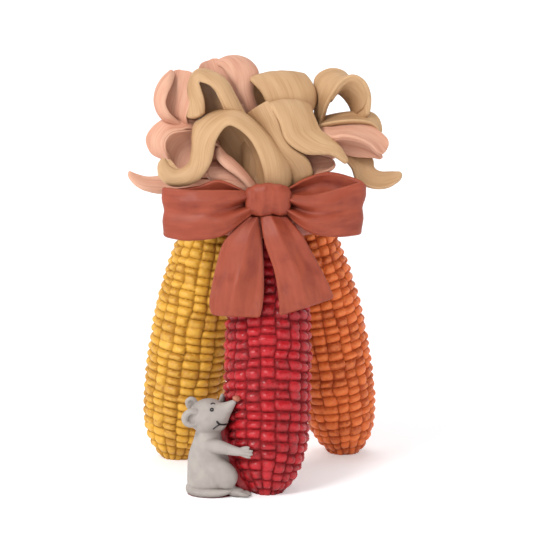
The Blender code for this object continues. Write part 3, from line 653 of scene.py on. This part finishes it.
# the hollow backs of the deep curls and the smaller folds beside them
folds = {
    "frontLeftHollow": ("husk_tan_front_left", "tan", 0.22, (
        (5, -36.5, 150), (4, -37, 157.6), (0, -38, 170), (-4, -39, 178.5), (-9.5, -40, 184),
        (-15.8, -40.5, 186)), (
        (-4, -33, 150), (-8, -29, 156), (-15, -21, 163.4), (-22, -17, 171.8), (-24.5, -19, 178.8),
        (-22, -28, 184.4))),
    "lowLeftFold": ("husk_pink_low_left", "pink", 0.2, (
        (-2, -33, 152), (-6.5, -33, 154), (-13.4, -33, 155.5), (-22, -33, 156.5), (-30, -32, 158)), (
        (-8, -26, 155), (-13, -24, 160.5), (-18, -23, 164), (-23, -24, 167), (-28, -27, 167.4))),
    "archLeftHollow": ("husk_tan_arch_left", "tan", 0.2, (
        (-10, -27, 182), (-14.6, -29, 188.5), (-18, -30, 192.7), (-21, -31, 198.7),
        (-24, -31, 203.8), (-29, -30, 208)), (
        (-22, -20, 180), (-29, -16, 186), (-32.5, -13, 191.1), (-33.5, -11, 197),
        (-34, -13, 203), (-33.6, -20, 207.6))),
    "topPinkHollow": ("husk_pink_top", "pink", 0.15, (
        (-6.5, -15, 196), (-10.5, -15, 203), (-15.5, -13.5, 210), (-18.5, -8, 215), (-22, -2, 219),
        (-27, 2, 220)), (
        (-16, -8, 196), (-23, -6, 202), (-30, -5, 207), (-33.5, -4, 211.5), (-33, -2, 216),
        (-30, 2, 218.5))),
    "archRightHollow": ("husk_tan_arch_right", "tan", 0.1, (
        (35, -22, 199), (38.5, -23.5, 204.3), (42.5, -23.5, 208.2), (47.4, -23.5, 209.8),
        (52, -22.5, 206.8), (54.6, -21.5, 201.5), (55, -20.5, 195)), (
        (32, -12, 198), (35, -11, 201.5), (38.1, -10, 202.7), (42, -10, 200), (45.2, -10.5, 196),
        (46.8, -11, 192.5), (47.6, -12, 188))),
    "rightFold": ("husk_tan_front_right", "tan", 0.08, (
        (3, -30, 198), (8, -34, 191), (11, -36, 182), (15, -37, 175), (22, -36, 170), (26, -33, 162),
        (26, -30, 151)), (
        (-9, -23, 190), (-5, -24, 181), (0, -28, 173), (5, -30, 167), (8, -30, 160), (9, -30, 150))),
    "pinkBacking": ("husk_pink_cup_left", "pink", 0.05, (
        (-41, -14, 158), (-43, -14, 175), (-42, -13, 191)), (
        (-18, -14, 158), (-21, -14, 175), (-27, -12, 197))),
    "curlLeftFold": ("husk_pink_curl_left", "pink", -0.16, (
        (-34, -14, 168), (-44, -18, 182), (-50.5, -20, 189.5), (-52.5, -20, 195), (-52, -19, 201),
        (-50.5, -17, 206.5), (-48.5, -14.5, 210.8), (-44.5, -11, 215)), (
        (-28, -16, 172), (-35, -20, 182), (-38.5, -24, 188), (-37.5, -26, 193.5),
        (-35.6, -26, 200), (-34.6, -24, 205.7), (-34.6, -20, 209.6), (-37, -14, 213.6))),
    "cupLeftBowl": ("husk_pink_cup_left", "pink", 0.25, (
        (-30, -22, 183), (-35.5, -25, 183.1), (-41.1, -28, 182.8), (-46.2, -30, 181.9),
        (-49.3, -31, 178.9), (-50.1, -31, 175.2), (-49, -30, 171), (-46.8, -28, 167.5)), (
        (-30, -20, 178), (-34, -20, 176), (-35.5, -21, 172), (-36.5, -22, 168.5),
        (-37.6, -23, 165.8), (-39.6, -24, 163.5), (-42, -25, 162.4), (-44.6, -26, 163.4))),
    "rightUnderside": ("husk_pink_right", "pink", 0.1, (
        (28, -20, 172), (36.2, -24, 173.5), (40.8, -25, 171), (45.1, -25, 169.8), (50.8, -26, 169.1),
        (56.2, -27, 169.1), (60.8, -28, 168.1)), (
        (28, -27, 178), (36.4, -33, 178.6), (41.3, -34, 179.4), (47.4, -34, 178.5),
        (53.7, -33, 176.2), (58.8, -31, 172.2), (62.1, -29, 169.1))),
}
# how dark the painted shade is at the deep edge of the leaves that face inwards
hollows = {"frontLeftHollow": 0.42, "lowLeftFold": 0.4, "archLeftHollow": 0.15, "topPinkHollow": 0.25,
           "archRightHollow": 0.6, "rightFold": 0.3, "pinkBacking": 0.55, "rightUnderside": 0.3,
           "lowRightLeaf": 0.35, "curlRightLeaf": 0.12}


def buildLeaf(name, number, node, paint, bulge, edgeA, edgeB):
    def veins(across, along, width):
        fine = layered(across / leafSize["veinWidth"] + 40, along / leafSize["veinLength"] + number * 7,
                       60 + number)
        wave = lattice(along / leafSize["waveLength"] + number, np.zeros_like(along), 90 + number)
        return leafSize["vein"] * fine + leafSize["wave"] * wave * (across / width) ** 2

    return stripPiece(name, (edgeA, edgeB), leafSize["thick"], bulge, leafSize["rows"],
                      leafSize["half"], veins, huskFinish[paint], [node],
                      hollows.get(name, 0.0))


for number, (name, values) in enumerate({**leaves, **folds}.items()):
    buildLeaf(name, number, *values)

# the stalk end that all the leaves grow from, a bundle of folded leaf bases
stalkSize = {
    "low": 146, "high": 186, "centre": (1, -10), "radii": (19, 18.5), "taper": (3, 2),
    "flare": 12, "flareHeight": 3.5,     # the bases spread to fill the tied ring
    "pleat": 1.5, "pleats": 9, "twist": 2.2, "uneven": 0.5,
    "roundFrom": 0.8,                    # the share of the height where the end starts to close
    "rows": 60, "around": 220,
}


def buildStalk():
    rows, around = stalkSize["rows"], stalkSize["around"]
    low, high = stalkSize["low"], stalkSize["high"]
    height = np.linspace(low, high, rows)[:, None]
    angle = np.linspace(0, 2 * math.pi, around, endpoint=False)[None]
    share = (height - low) / (high - low)
    flare = stalkSize["flare"] * np.exp((low - height) / stalkSize["flareHeight"])
    radiusX, radiusY = (radius - taper * share + flare
                        for radius, taper in zip(stalkSize["radii"], stalkSize["taper"]))
    fold = np.abs(np.sin(angle * stalkSize["pleats"] / 2 + stalkSize["twist"] * share))
    pleat = stalkSize["pleat"] * fold + stalkSize["uneven"] * layered(angle * 8, height / 14, 33)
    end = np.maximum(0, (share - stalkSize["roundFrom"]) / (1 - stalkSize["roundFrom"]))
    closing = np.sqrt(np.clip(1 - end ** 2, 0.001, 1))
    x = stalkSize["centre"][0] + (radiusX + pleat) * closing * np.cos(angle)
    y = stalkSize["centre"][1] + (radiusY + pleat) * closing * np.sin(angle)
    points = np.stack((x, y, height + 0 * x), axis=-1)
    faces = tubeFaces(rows, around)
    # shaded all over, as the leaves stand close round it
    marks = {"across": angle * 18 + 0 * x, "along": height + 0 * x, "rim": 0 * x, "insideShade": 0.4 + 0 * x}
    return outward(storeMesh("stalkEnd", points.reshape(-1, 3), faces, marks, huskFinish["tan"],
                             ["husk_core"]))


buildStalk()
print("leaves ready")


# the bow

bowSize = {
    "thick": 2.6, "rows": 110, "half": 40, "tipRound": 0.7,
    "facet": 1.5, "facetSize": (9, 12),          # mm, across and along the ribbon
    "puff": 2.6,                                 # mm, how far a loop swells near the knot
    # each gather's height in mm, then its place and width as shares of half the ribbon
    "gathers": ((3.8, 0.55, 0.35), (3.6, -0.4, 0.4), (-3.4, 0.08, 0.3)), "gatherLength": 21,
    "flare": 0.5,                                # mm, at the bend of a loop
    "tailFold": 4.2, "tailFoldWidth": 0.7,
    # where a tail's ridge starts, and how far it moves over by the tip
    "tailRidges": {"bowLeftTail": (0.35, -0.5), "bowRightTail": (-0.25, 0.2)},
}
bowPaint = {"light": "#9e4930", "body": "#8d3c26", "deep": "#7b2e1c", "wash": "#45130b"}
# the solid it stands for, and its two edges from the knot on
ribbons = {
    "bowLeftLoop": ("bow_loop_left", (
        (-5, -45, 141), (-20, -48, 130.5), (-36, -48, 128), (-46, -45.5, 129), (-48.5, -41, 130),
        (-45, -37, 131), (-33, -35.5, 132), (-20, -37, 134), (-9, -40.5, 141)), (
        (-5, -44, 153), (-20, -46, 153.5), (-36, -46, 153.5), (-47, -44, 154.5), (-49, -41, 154.5),
        (-46, -37, 153.5), (-33, -35.5, 155), (-22, -37, 158), (-9, -40.5, 153))),
    "bowRightLoop": ("bow_loop_right", (
        (12, -45, 141), (24, -49, 132), (37, -49, 130), (46, -46.5, 130.5), (48.5, -42, 131),
        (45, -38, 132), (33, -36, 134), (22, -37.5, 136), (13, -40.5, 142)), (
        (12, -44, 151), (24, -47, 151), (37, -47, 154), (48, -45, 157), (51, -41, 156.5),
        (47, -37, 159), (34, -35, 162), (22, -36.5, 159), (13, -40.5, 154))),
    "bowRightTail": ("bow_tail_right", (
        (-1, -47, 140), (1, -51.5, 128), (6, -53.5, 113), (8.3, -56, 99), (8.5, -57, 91)), (
        (13, -46, 140), (21, -49, 129), (28.5, -50.5, 116), (33.5, -52, 106), (36, -52.5, 99.5))),
    "bowLeftTail": ("bow_tail_left", (
        (-7, -45, 140), (-19, -48, 128), (-24, -49, 112), (-26.5, -50, 98), (-25.5, -50.5, 90.5)), (
        (-1, -44, 139), (0, -48.5, 128), (0.8, -51.5, 112), (0.5, -54.5, 98), (-1, -56, 90))),
}


def bowMaterial():
    # cast resin painted terracotta, with soft strokes brushed along the ribbon
    material, tree, shader = newMaterial("paintedRibbon", 0.52)
    shader.inputs["Specular IOR Level"].default_value = 0.35
    stroke = strandNoise(tree, 3.2, 20, 5)    # strokes of a 3 mm brush
    broad = mottle(tree, 9.0, 2.0)            # thicker and thinner paint
    fine = mottle(tree, 1.1, 3.0)             # brush marks
    colour = blendColour(tree, ramp(tree, broad, 0.2, 0.6), linear(bowPaint["deep"]),
                         linear(bowPaint["body"]))
    colour = blendColour(tree, ramp(tree, stroke, 0.35, 0.75, 0.0, 0.7), colour, linear(bowPaint["light"]))
    colour = blendColour(tree, ramp(tree, attribute(tree, "rim"), 0.3, 0.95, 0.0, 0.3), colour,
                         linear(bowPaint["light"]))
    # painted shade, together with the wash: the ribbon darkens where it is closed in
    opening = crevice(tree, 8)
    colour = blendColour(tree, ramp(tree, opening, 0.75, 0.1, 0.0, 0.85), colour,
                         linear(bowPaint["wash"]))
    tree.links.new(colour, shader.inputs["Base Color"])
    bump = addNode(tree, "ShaderNodeBump", None, {"Strength": 0.25, "Distance": 0.4 * mm, "Height": fine})
    tree.links.new(bump.outputs[0], shader.inputs["Normal"])
    return material


bowFinish = bowMaterial()


def crease(place, centre, width):
    # 1 on a ridge line, falling in a straight slope to 0 at its width
    return np.maximum(0, 1 - np.abs(place - centre) / width)


def buildRibbon(name, number, node, edgeA, edgeB):
    isLoop = "Loop" in name
    toward = 1 if name == "bowLeftLoop" else -1   # the side of the ribbon that faces out

    def folds(across, along, width):
        s = across / width
        share = along / along.max()
        wide, long = bowSize["facetSize"]
        facet = bowSize["facet"] * layered(across / wide + number * 5, along / long, 120 + number, 2)
        if isLoop:
            # the bend of the loop is smooth, and the gathers run out from both of its ends
            facet = facet * (1 - crease(share, 0.5, 0.2))
            near = np.exp(-np.minimum(along, along.max() - along) / bowSize["gatherLength"])
            puff = bowSize["puff"] * np.sin(math.pi * np.minimum(1, share * 2.3)) * (1 - s ** 2)
            gathers = sum(high * crease(s, place, width) for high, place, width in bowSize["gathers"])
            flare = bowSize["flare"] * crease(share, 0.47, 0.12) * np.abs(s)
            return toward * (puff + gathers * near + flare + facet)
        start, shift = bowSize["tailRidges"][name]
        fold = bowSize["tailFold"] * crease(s, start + shift * share, bowSize["tailFoldWidth"])
        return toward * (fold * np.minimum(1, 0.4 + share) + facet)

    return stripPiece(name, (edgeA, edgeB), bowSize["thick"], 0.0, bowSize["rows"], bowSize["half"],
                      folds, bowFinish, [node], tipRound=bowSize["tipRound"])


for number, (name, values) in enumerate(ribbons.items()):
    buildRibbon(name, number, *values)

knotSize = {
    "centre": (3.0, -45.3, 148.5), "half": (11.6, 5.6, 8.2), "rows": 70, "around": 96,
    "sidePower": 3.8, "ringPower": 3.0,              # 2 is an ellipse, and more is squarer
    "fold": 0.12, "foldWidth": 0.28,                 # shares of the knot's size
    "gather": 0.03, "gathers": 7, "dents": 0.09,
}


def buildKnot():
    u = np.sin(np.linspace(-math.pi / 2, math.pi / 2, knotSize["rows"])) * 0.995
    angle = np.linspace(0, 2 * math.pi, knotSize["around"], endpoint=False)
    swell = (1 - np.abs(u) ** knotSize["sidePower"]) ** (1 / knotSize["sidePower"])
    c = np.cos(angle)
    s = np.sin(angle)
    power = knotSize["ringPower"]
    reach = (np.abs(c) ** power + np.abs(s) ** power) ** (-1 / power)
    # a slanting fold down the front and gathers that run into the ends
    u = u[:, None]
    fold = 1 - knotSize["fold"] * crease(u, -0.25 - 0.5 * s, knotSize["foldWidth"])
    gather = 1 + knotSize["gather"] * np.sin(angle * knotSize["gathers"] + 1) * np.abs(u) ** 2
    dents = 1 + knotSize["dents"] * layered(u * 3 + 9, 2 * s + 7 + 0 * u, 71)
    size = swell[:, None] * reach * fold * gather * dents
    x = knotSize["centre"][0] + knotSize["half"][0] * u + 0 * size
    y = knotSize["centre"][1] + knotSize["half"][1] * size * c
    z = knotSize["centre"][2] + knotSize["half"][2] * size * s
    points = np.stack((x, y, z), axis=-1)
    faces = tubeFaces(*size.shape)
    marks = {"across": x, "along": z, "rim": 0 * x}
    return outward(storeMesh("bowKnot", points.reshape(-1, 3), faces, marks, bowFinish,
                             ["bow_knot"]))


buildKnot()

# the ribbon that ties the three necks, hidden by the loops at the front
bandSize = {
    "low": 128.5, "high": 152.0, "clear": 3.0, "thick": 2.6,
    "wrinkle": 0.5, "puff": 0.8, "edgeRound": 1.4,   # mm
    "rows": 40, "around": 360,
}


def buildBand():
    count, around = bandSize["rows"], bandSize["around"]
    angle = np.linspace(0, 2 * math.pi, around, endpoint=False)
    facing = np.stack((np.cos(angle), np.sin(angle)), axis=-1)
    rows = []
    for z in np.linspace(bandSize["low"], bandSize["high"], count):
        # how far the three necks reach in every direction
        reach = np.full(around, -1e9)
        for ear in ears.values():
            middle = earMiddle(ear, np.array([z]))[0, :2]
            radius = earRadius(ear, np.array([z]))[0] + bandSize["clear"]
            reach = np.maximum(reach, facing @ middle + radius)
        # that reach and its slope give the points of an outline pulled taut round them
        slope = np.gradient(np.concatenate((reach[-2:], reach, reach[:2])), 2 * math.pi / around)[2:-2]
        x = reach * np.cos(angle) - slope * np.sin(angle)
        y = reach * np.sin(angle) + slope * np.cos(angle)
        rows.append(np.stack((x, y, np.full(around, z)), axis=-1))
    shell = np.array(rows)
    share = np.linspace(0, 1, count)[:, None]
    wrinkle = (bandSize["wrinkle"] * layered(angle[None] * 12, share * 5 + 3, 55)
               + bandSize["puff"] * np.sin(share * math.pi))
    rounding = -bandSize["edgeRound"] * (np.abs(2 * share - 1) ** 8)
    centre = shell.mean(axis=(0, 1))
    away = unit((shell - centre) * np.array((1, 1, 0)))
    shell = shell + away * (wrinkle + rounding)[..., None]
    inner = shell - away * bandSize["thick"]
    ring = np.concatenate((shell, inner[::-1]))
    faces = aroundFaces(2 * count, around)
    # the inner wall joins the outer one again along the lower edge
    last = (2 * count - 1) * around
    faces.extend([last + i, last + (i + 1) % around, (i + 1) % around, i] for i in range(around))
    along = np.broadcast_to(angle * 28, ring.shape[:2])
    marks = {"across": ring[..., 2], "along": along, "rim": 0 * along}
    return outward(storeMesh("bowBand", ring.reshape(-1, 3), faces, marks, bowFinish,
                             ["bow_band"]))


buildBand()
print("bow ready")


# the mouse

mousePaint = {"light": "#a49c95", "body": "#988f89", "deep": "#7e746e", "wash": "#50443e"}
# each skin's cell in mm and its smoothing passes; the body comes before its crisp parts
mouseSkins = {"soft": (0.5, 8), "fine": (0.3, 3), "tail": (0.4, 4), "web": (0.5, 6), "nose": (0.25, 3),
              "stroke": (0.16, 2)}
mouseForms = {
    # limbs are a path and its radii, rounds are a centre, three radii and a turn in degrees
    "limbs": (
        # body, head, jaw, near arm, far arm and thigh
        (((-27, -52, 1.5), (-27, -52, 4), (-26.5, -52, 9), (-27.2, -52, 17), (-27.6, -52, 24),
          (-27.2, -52.5, 32), (-27, -53, 38)), (10.2, 11.2, 11.8, 10.6, 8.0, 6.2, 5)),
        (((-27, -54, 39.8), (-23.6, -55, 40.4), (-20, -56, 42.5), (-17.2, -56.6, 44.8),
          (-15, -57, 46.8), (-13.9, -57.2, 48)), (8.3, 6.7, 4.5, 2.9, 1.8, 1.1)),
        (((-25, -54, 36.5), (-22.3, -55, 36.6), (-19.8, -56, 38.9), (-18, -56.4, 41.4)),
         (5.8, 4.5, 3.1, 2.2)),
        (((-27.5, -57.5, 25.5), (-23, -60.5, 25.6), (-18, -63, 25), (-13.5, -64.6, 24.2),
          (-9.5, -65.4, 23.9)), (3.6, 3.7, 3.0, 2.4, 2.1)),
        (((-27, -47, 28), (-23, -44, 36), (-21.2, -44, 43), (-20.6, -45.4, 46.4), (-20.4, -46, 49)),
         (4, 3.2, 2.2, 1.6, 1.0)),
        (((-28, -57, 17), (-22, -59.5, 13.5), (-18.6, -60.5, 10)), (3.5, 6.0, 6.4)),
    ),
    "rounds": (
        # crown of the head, knee and foot
        ((-27.3, -53.5, 39.6), (9.8, 9.0, 9.0), (0, -16, 0)),
        ((-19.8, -58.6, 9.6), (6.4, 6.0, 8.4), (0, 0, 0)),
        ((-13.2, -60.8, 2.2), (5.2, 3.4, 2.7), (0, 12, 0)),
    ),
    # crisp parts, joined after the body has been softened
    "fineLimbs": (
        # ear rims
        (((-31.8, -58.2, 41.6), (-33.4, -59.6, 43), (-36, -60.6, 43.4), (-38.2, -60.6, 41.8),
          (-38.9, -60, 39.4), (-37.8, -59.8, 37.2), (-35.4, -59.8, 36.4), (-33.2, -59.4, 36.8)),
         (1.5, 1.6, 1.6, 1.6, 1.6, 1.5, 1.4, 1.2)),
        (((-33.6, -50.6, 45.2), (-34.4, -51.2, 47.2), (-36.2, -51.4, 48), (-37.8, -51.2, 46.8),
          (-37.8, -50.6, 44.8), (-36.8, -50.2, 43)), (1.3, 1.2, 1.15, 1.2, 1.2, 1.1)),
        # fingers
        (((-10, -65.2, 25.4), (-8.2, -66, 26.3), (-6.8, -66.3, 26.4)), (1.1, 0.8, 0.65)),
        (((-10, -66, 24.6), (-7, -66.9, 24.8), (-5.2, -66.9, 24.7)), (1.1, 0.8, 0.65)),
        (((-10, -66, 23.4), (-7, -66.8, 23.1), (-5.2, -66.6, 23)), (1.1, 0.8, 0.65)),
        (((-10, -65.6, 22.6), (-7.8, -66.2, 21.7), (-6.2, -66.2, 21.4)), (1.0, 0.75, 0.6)),
        # toes
        (((-11, -63.2, 1.8), (-8.6, -63.9, 1.4), (-7.2, -63.9, 1.1)), (1.4, 1.1, 0.8)),
        (((-11, -61.2, 2.0), (-7.8, -61.6, 1.5), (-6.2, -61.6, 1.2)), (1.5, 1.1, 0.85)),
        (((-11, -59.2, 1.8), (-8.2, -59, 1.5), (-6.6, -59, 1.1)), (1.4, 1.1, 0.8)),
    ),
    "details": (
        # the hollows of the ears
        ((-35.8, -59, 40), (3.6, 0.9, 3.8), (0, 0, -22)),
        ((-35.8, -50.6, 45.6), (2.8, 1.1, 3.2), (0, 0, 15)),
    ),
    "tail": (((-34.5, -46, 2.2), (-36.5, -51, 2.2), (-35.7, -57, 2.2), (-32, -61.4, 2.2),
              (-26.5, -63.4, 2.3), (-21, -63.3, 2.5), (-16.6, -62.6, 3.4), (-14.4, -62, 4.6)),
             (2.4, 2.5, 2.5, 2.4, 2.3, 2.0, 1.5, 0.8)),
    "nose": ((-12.9, -57.4, 49.4), (2.1, 1.7, 1.6), (0, 12, 0)),
    # the red casting behind the mouse, and the thin sheet of it under the mouse
    "web": (((-23, -47, 36), (-20, -47, 26), (-17, -48, 16), (-14, -50, 8), (-11, -52, 3)),
            (4.5, 6.5, 7.5, 8.0, 6.5)),
    "sheet": ((-25.5, -53.5, 0.1), (13.2, 11.4, 0.6), (0, 0, 0)),
}
nosePaint = {"body": "#8f4530", "light": "#a8604a"}
eyeRing = {"centre": (-25.2, 44.4), "radii": (0.66, 0.6)}
# painted lines: x and z of their points in mm, half their width in mm and their colour
mouseStrokes = {
    "nearEye": ([(eyeRing["centre"][0] + eyeRing["radii"][0] * math.cos(t),
                  eyeRing["centre"][1] + eyeRing["radii"][1] * math.sin(t))
                 for t in np.linspace(0, 2 * math.pi, 9)], 0.42, "#0d0c0d"),
    "farEye": (((-25.6, 46.8), (-24.8, 47.1), (-23.9, 46.8)), 0.42, "#0d0c0d"),
    "smile": (((-18.3, 36.3), (-19.6, 36.4), (-21.1, 36.8), (-22, 37.6), (-22.6, 38.5)), 0.55, "#0d0c0d"),
    "cheekLine": (((-21.1, 36.8), (-22.4, 36.2), (-23.6, 35.4), (-24.4, 34.6)), 0.48, "#141213"),
}


def roundForm(centre, radii, turn):
    # an ellipsoid as points and faces, ready to be joined to its neighbours
    up, around = 20, 32
    tilt = np.linspace(0, math.pi, up)[:, None]
    angle = np.linspace(0, 2 * math.pi, around, endpoint=False)[None]
    ball = np.stack((np.sin(tilt) * np.cos(angle), np.sin(tilt) * np.sin(angle),
                     np.cos(tilt) + 0 * angle), axis=-1).reshape(-1, 3)
    turnX, turnY, turnZ = (Matrix.Rotation(math.radians(size), 3, axis) for size, axis in zip(turn, "XYZ"))
    points = (ball * np.array(radii)) @ np.array(turnZ @ turnY @ turnX).T + np.array(centre)
    return points, aroundFaces(up, around)


def limbForm(path, radii, steps=7):
    # a chain of close balls reads as one smooth limb after the remesh
    centres = smoothLine(path, steps * (len(path) - 1) + 1)
    sizes = smoothLine([(r, 0, 0) for r in radii], steps * (len(path) - 1) + 1)[:, 0]
    return [roundForm(centre, (size, size, size), (0, 0, 0)) for centre, size in zip(centres, sizes)]


def remeshed(name, forms, skin):
    # joins overlapping forms into one skin and softens the seams
    voxel, passes = mouseSkins[skin]
    points = np.concatenate([form[0] for form in forms])
    faces = []
    start = 0
    for form in forms:
        faces.extend([[index + start for index in face] for face in form[1]])
        start += len(form[0])
    mesh = bpy.data.meshes.new(name)
    mesh.from_pydata(points * mm, [], faces)
    shape = bpy.data.objects.new(name, mesh)
    bpy.context.collection.objects.link(shape)
    remesh = shape.modifiers.new("remesh", "REMESH")
    remesh.mode = "VOXEL"
    remesh.voxel_size = voxel * mm
    relax = shape.modifiers.new("relax", "SMOOTH")
    relax.factor = 0.5
    relax.iterations = passes
    bpy.context.view_layer.update()
    graph = bpy.context.evaluated_depsgraph_get()
    result = bpy.data.meshes.new_from_object(shape.evaluated_get(graph))
    bpy.data.objects.remove(shape)
    places = np.empty(len(result.vertices) * 3)
    result.vertices.foreach_get("co", places)
    return places.reshape(-1, 3) / mm, [list(face.vertices) for face in result.polygons]


def onFloor(points):
    points[:, 2] = np.maximum(points[:, 2], 0)
    return points


def mouseMaterial():
    # cast resin in matte grey paint, thinly washed, with painted shade in its folds
    material, tree, shader = newMaterial("paintedMouse", 0.6)
    shader.inputs["Specular IOR Level"].default_value = 0.3
    patch = mottle(tree, 7.0, 4.0)    # thicker and thinner paint
    colour = blendColour(tree, ramp(tree, patch, 0.3, 0.7), linear(mousePaint["body"]),
                         linear(mousePaint["light"]))
    # painted shade, together with the thin wash: the mouse darkens in two steps where it is closed in
    opening = crevice(tree, 7)
    colour = blendColour(tree, ramp(tree, opening, 0.8, 0.4, 0.0, 0.6), colour,
                         linear(mousePaint["deep"]))
    colour = blendColour(tree, ramp(tree, opening, 0.4, 0.05, 0.0, 0.8), colour,
                         linear(mousePaint["wash"]))
    tree.links.new(colour, shader.inputs["Base Color"])
    bump = addNode(tree, "ShaderNodeBump", None, {"Strength": 0.2, "Distance": 0.3 * mm,
                                                  "Height": mottle(tree, 1.0, 3.0)})
    tree.links.new(bump.outputs[0], shader.inputs["Normal"])
    return material


def buildMouse():
    forms = []
    for path, radii in mouseForms["limbs"]:
        forms.extend(limbForm(path, radii))
    forms.extend(roundForm(*form) for form in mouseForms["rounds"])
    soft = remeshed("mouseSoft", forms, "soft")
    details = [roundForm(*form) for form in mouseForms["details"]]
    for path, radii in mouseForms["fineLimbs"]:
        details.extend(limbForm(path, radii))
    points, faces = remeshed("mouseFine", [soft] + details, "fine")
    return outward(storeMesh("mouseBody", onFloor(points), faces, {}, mouseFinish, ["mouse"]))


def buildTail():
    path, radii = mouseForms["tail"]
    points, faces = remeshed("tailSkin", limbForm(path, radii, 12), "tail")
    return outward(storeMesh("mouseTail", onFloor(points), faces, {}, mouseFinish, ["mouse_tail"]))


def buildWeb():
    # the ear's casting fills the gap behind the mouse and runs under it as a thin sheet
    path, radii = mouseForms["web"]
    forms = limbForm(path, radii) + [roundForm(*mouseForms["sheet"])]
    points, faces = remeshed("webSkin", forms, "web")
    points = onFloor(points)
    # half a millimetre of unevenness, but none on the sheet
    points[:, 1] += 0.5 * layered(points[:, 0] / 3 + 20, points[:, 2] / 3, 77) * (points[:, 2] > 2)
    marks = {"groove": np.full(len(points), 0.3), "tone": np.zeros(len(points))}
    return outward(storeMesh("mouseWeb", points, faces, marks, earPieces["redEar"].data.materials[0],
                             []))


def strokeOn(target, name, line, width, colour):
    # a painted line laid on the mouse's near side as a thin raised bead
    mesh = target.data
    skin = BVHTree.FromPolygons([v.co for v in mesh.vertices], [list(f.vertices) for f in mesh.polygons])
    forms = []
    for x, z in smoothLine(line, 6 * len(line)):
        start = (Vector((x, -110, z)) + Vector(tripod)) * mm
        hit = skin.ray_cast(start, Vector((0, 1, 0)))[0]
        if hit:
            centre = np.array(hit) / mm - tripod
            sunk = centre + np.array((0, 0.2 * width, 0))
            forms.append(roundForm(sunk, (width, width, width), (0, 0, 0)))
    points, faces = remeshed(name + "Skin", forms, "stroke")
    # black paint, a little glossier than the grey
    material, tree, shader = newMaterial("painted" + name[0].upper() + name[1:], 0.45)
    shader.inputs["Base Color"].default_value = linear(colour)
    return outward(storeMesh(name, points, faces, {}, material, []))


mouseFinish = mouseMaterial()
mouseBody = buildMouse()
buildTail()
buildWeb()
for name, values in mouseStrokes.items():
    strokeOn(mouseBody, name, *values)


def buildNose():
    points, faces = remeshed("noseSkin", [roundForm(*mouseForms["nose"])], "nose")
    # satin paint, dabbed on unevenly with a fine brush
    material, tree, shader = newMaterial("paintedNose", 0.5)
    colour = blendColour(tree, ramp(tree, mottle(tree, 1.6), 0.35, 0.65), linear(nosePaint["body"]),
                         linear(nosePaint["light"]))
    tree.links.new(colour, shader.inputs["Base Color"])
    return outward(storeMesh("mouseNose", points, faces, {}, material, ["mouse_nose"]))


buildNose()
print("mouse ready")
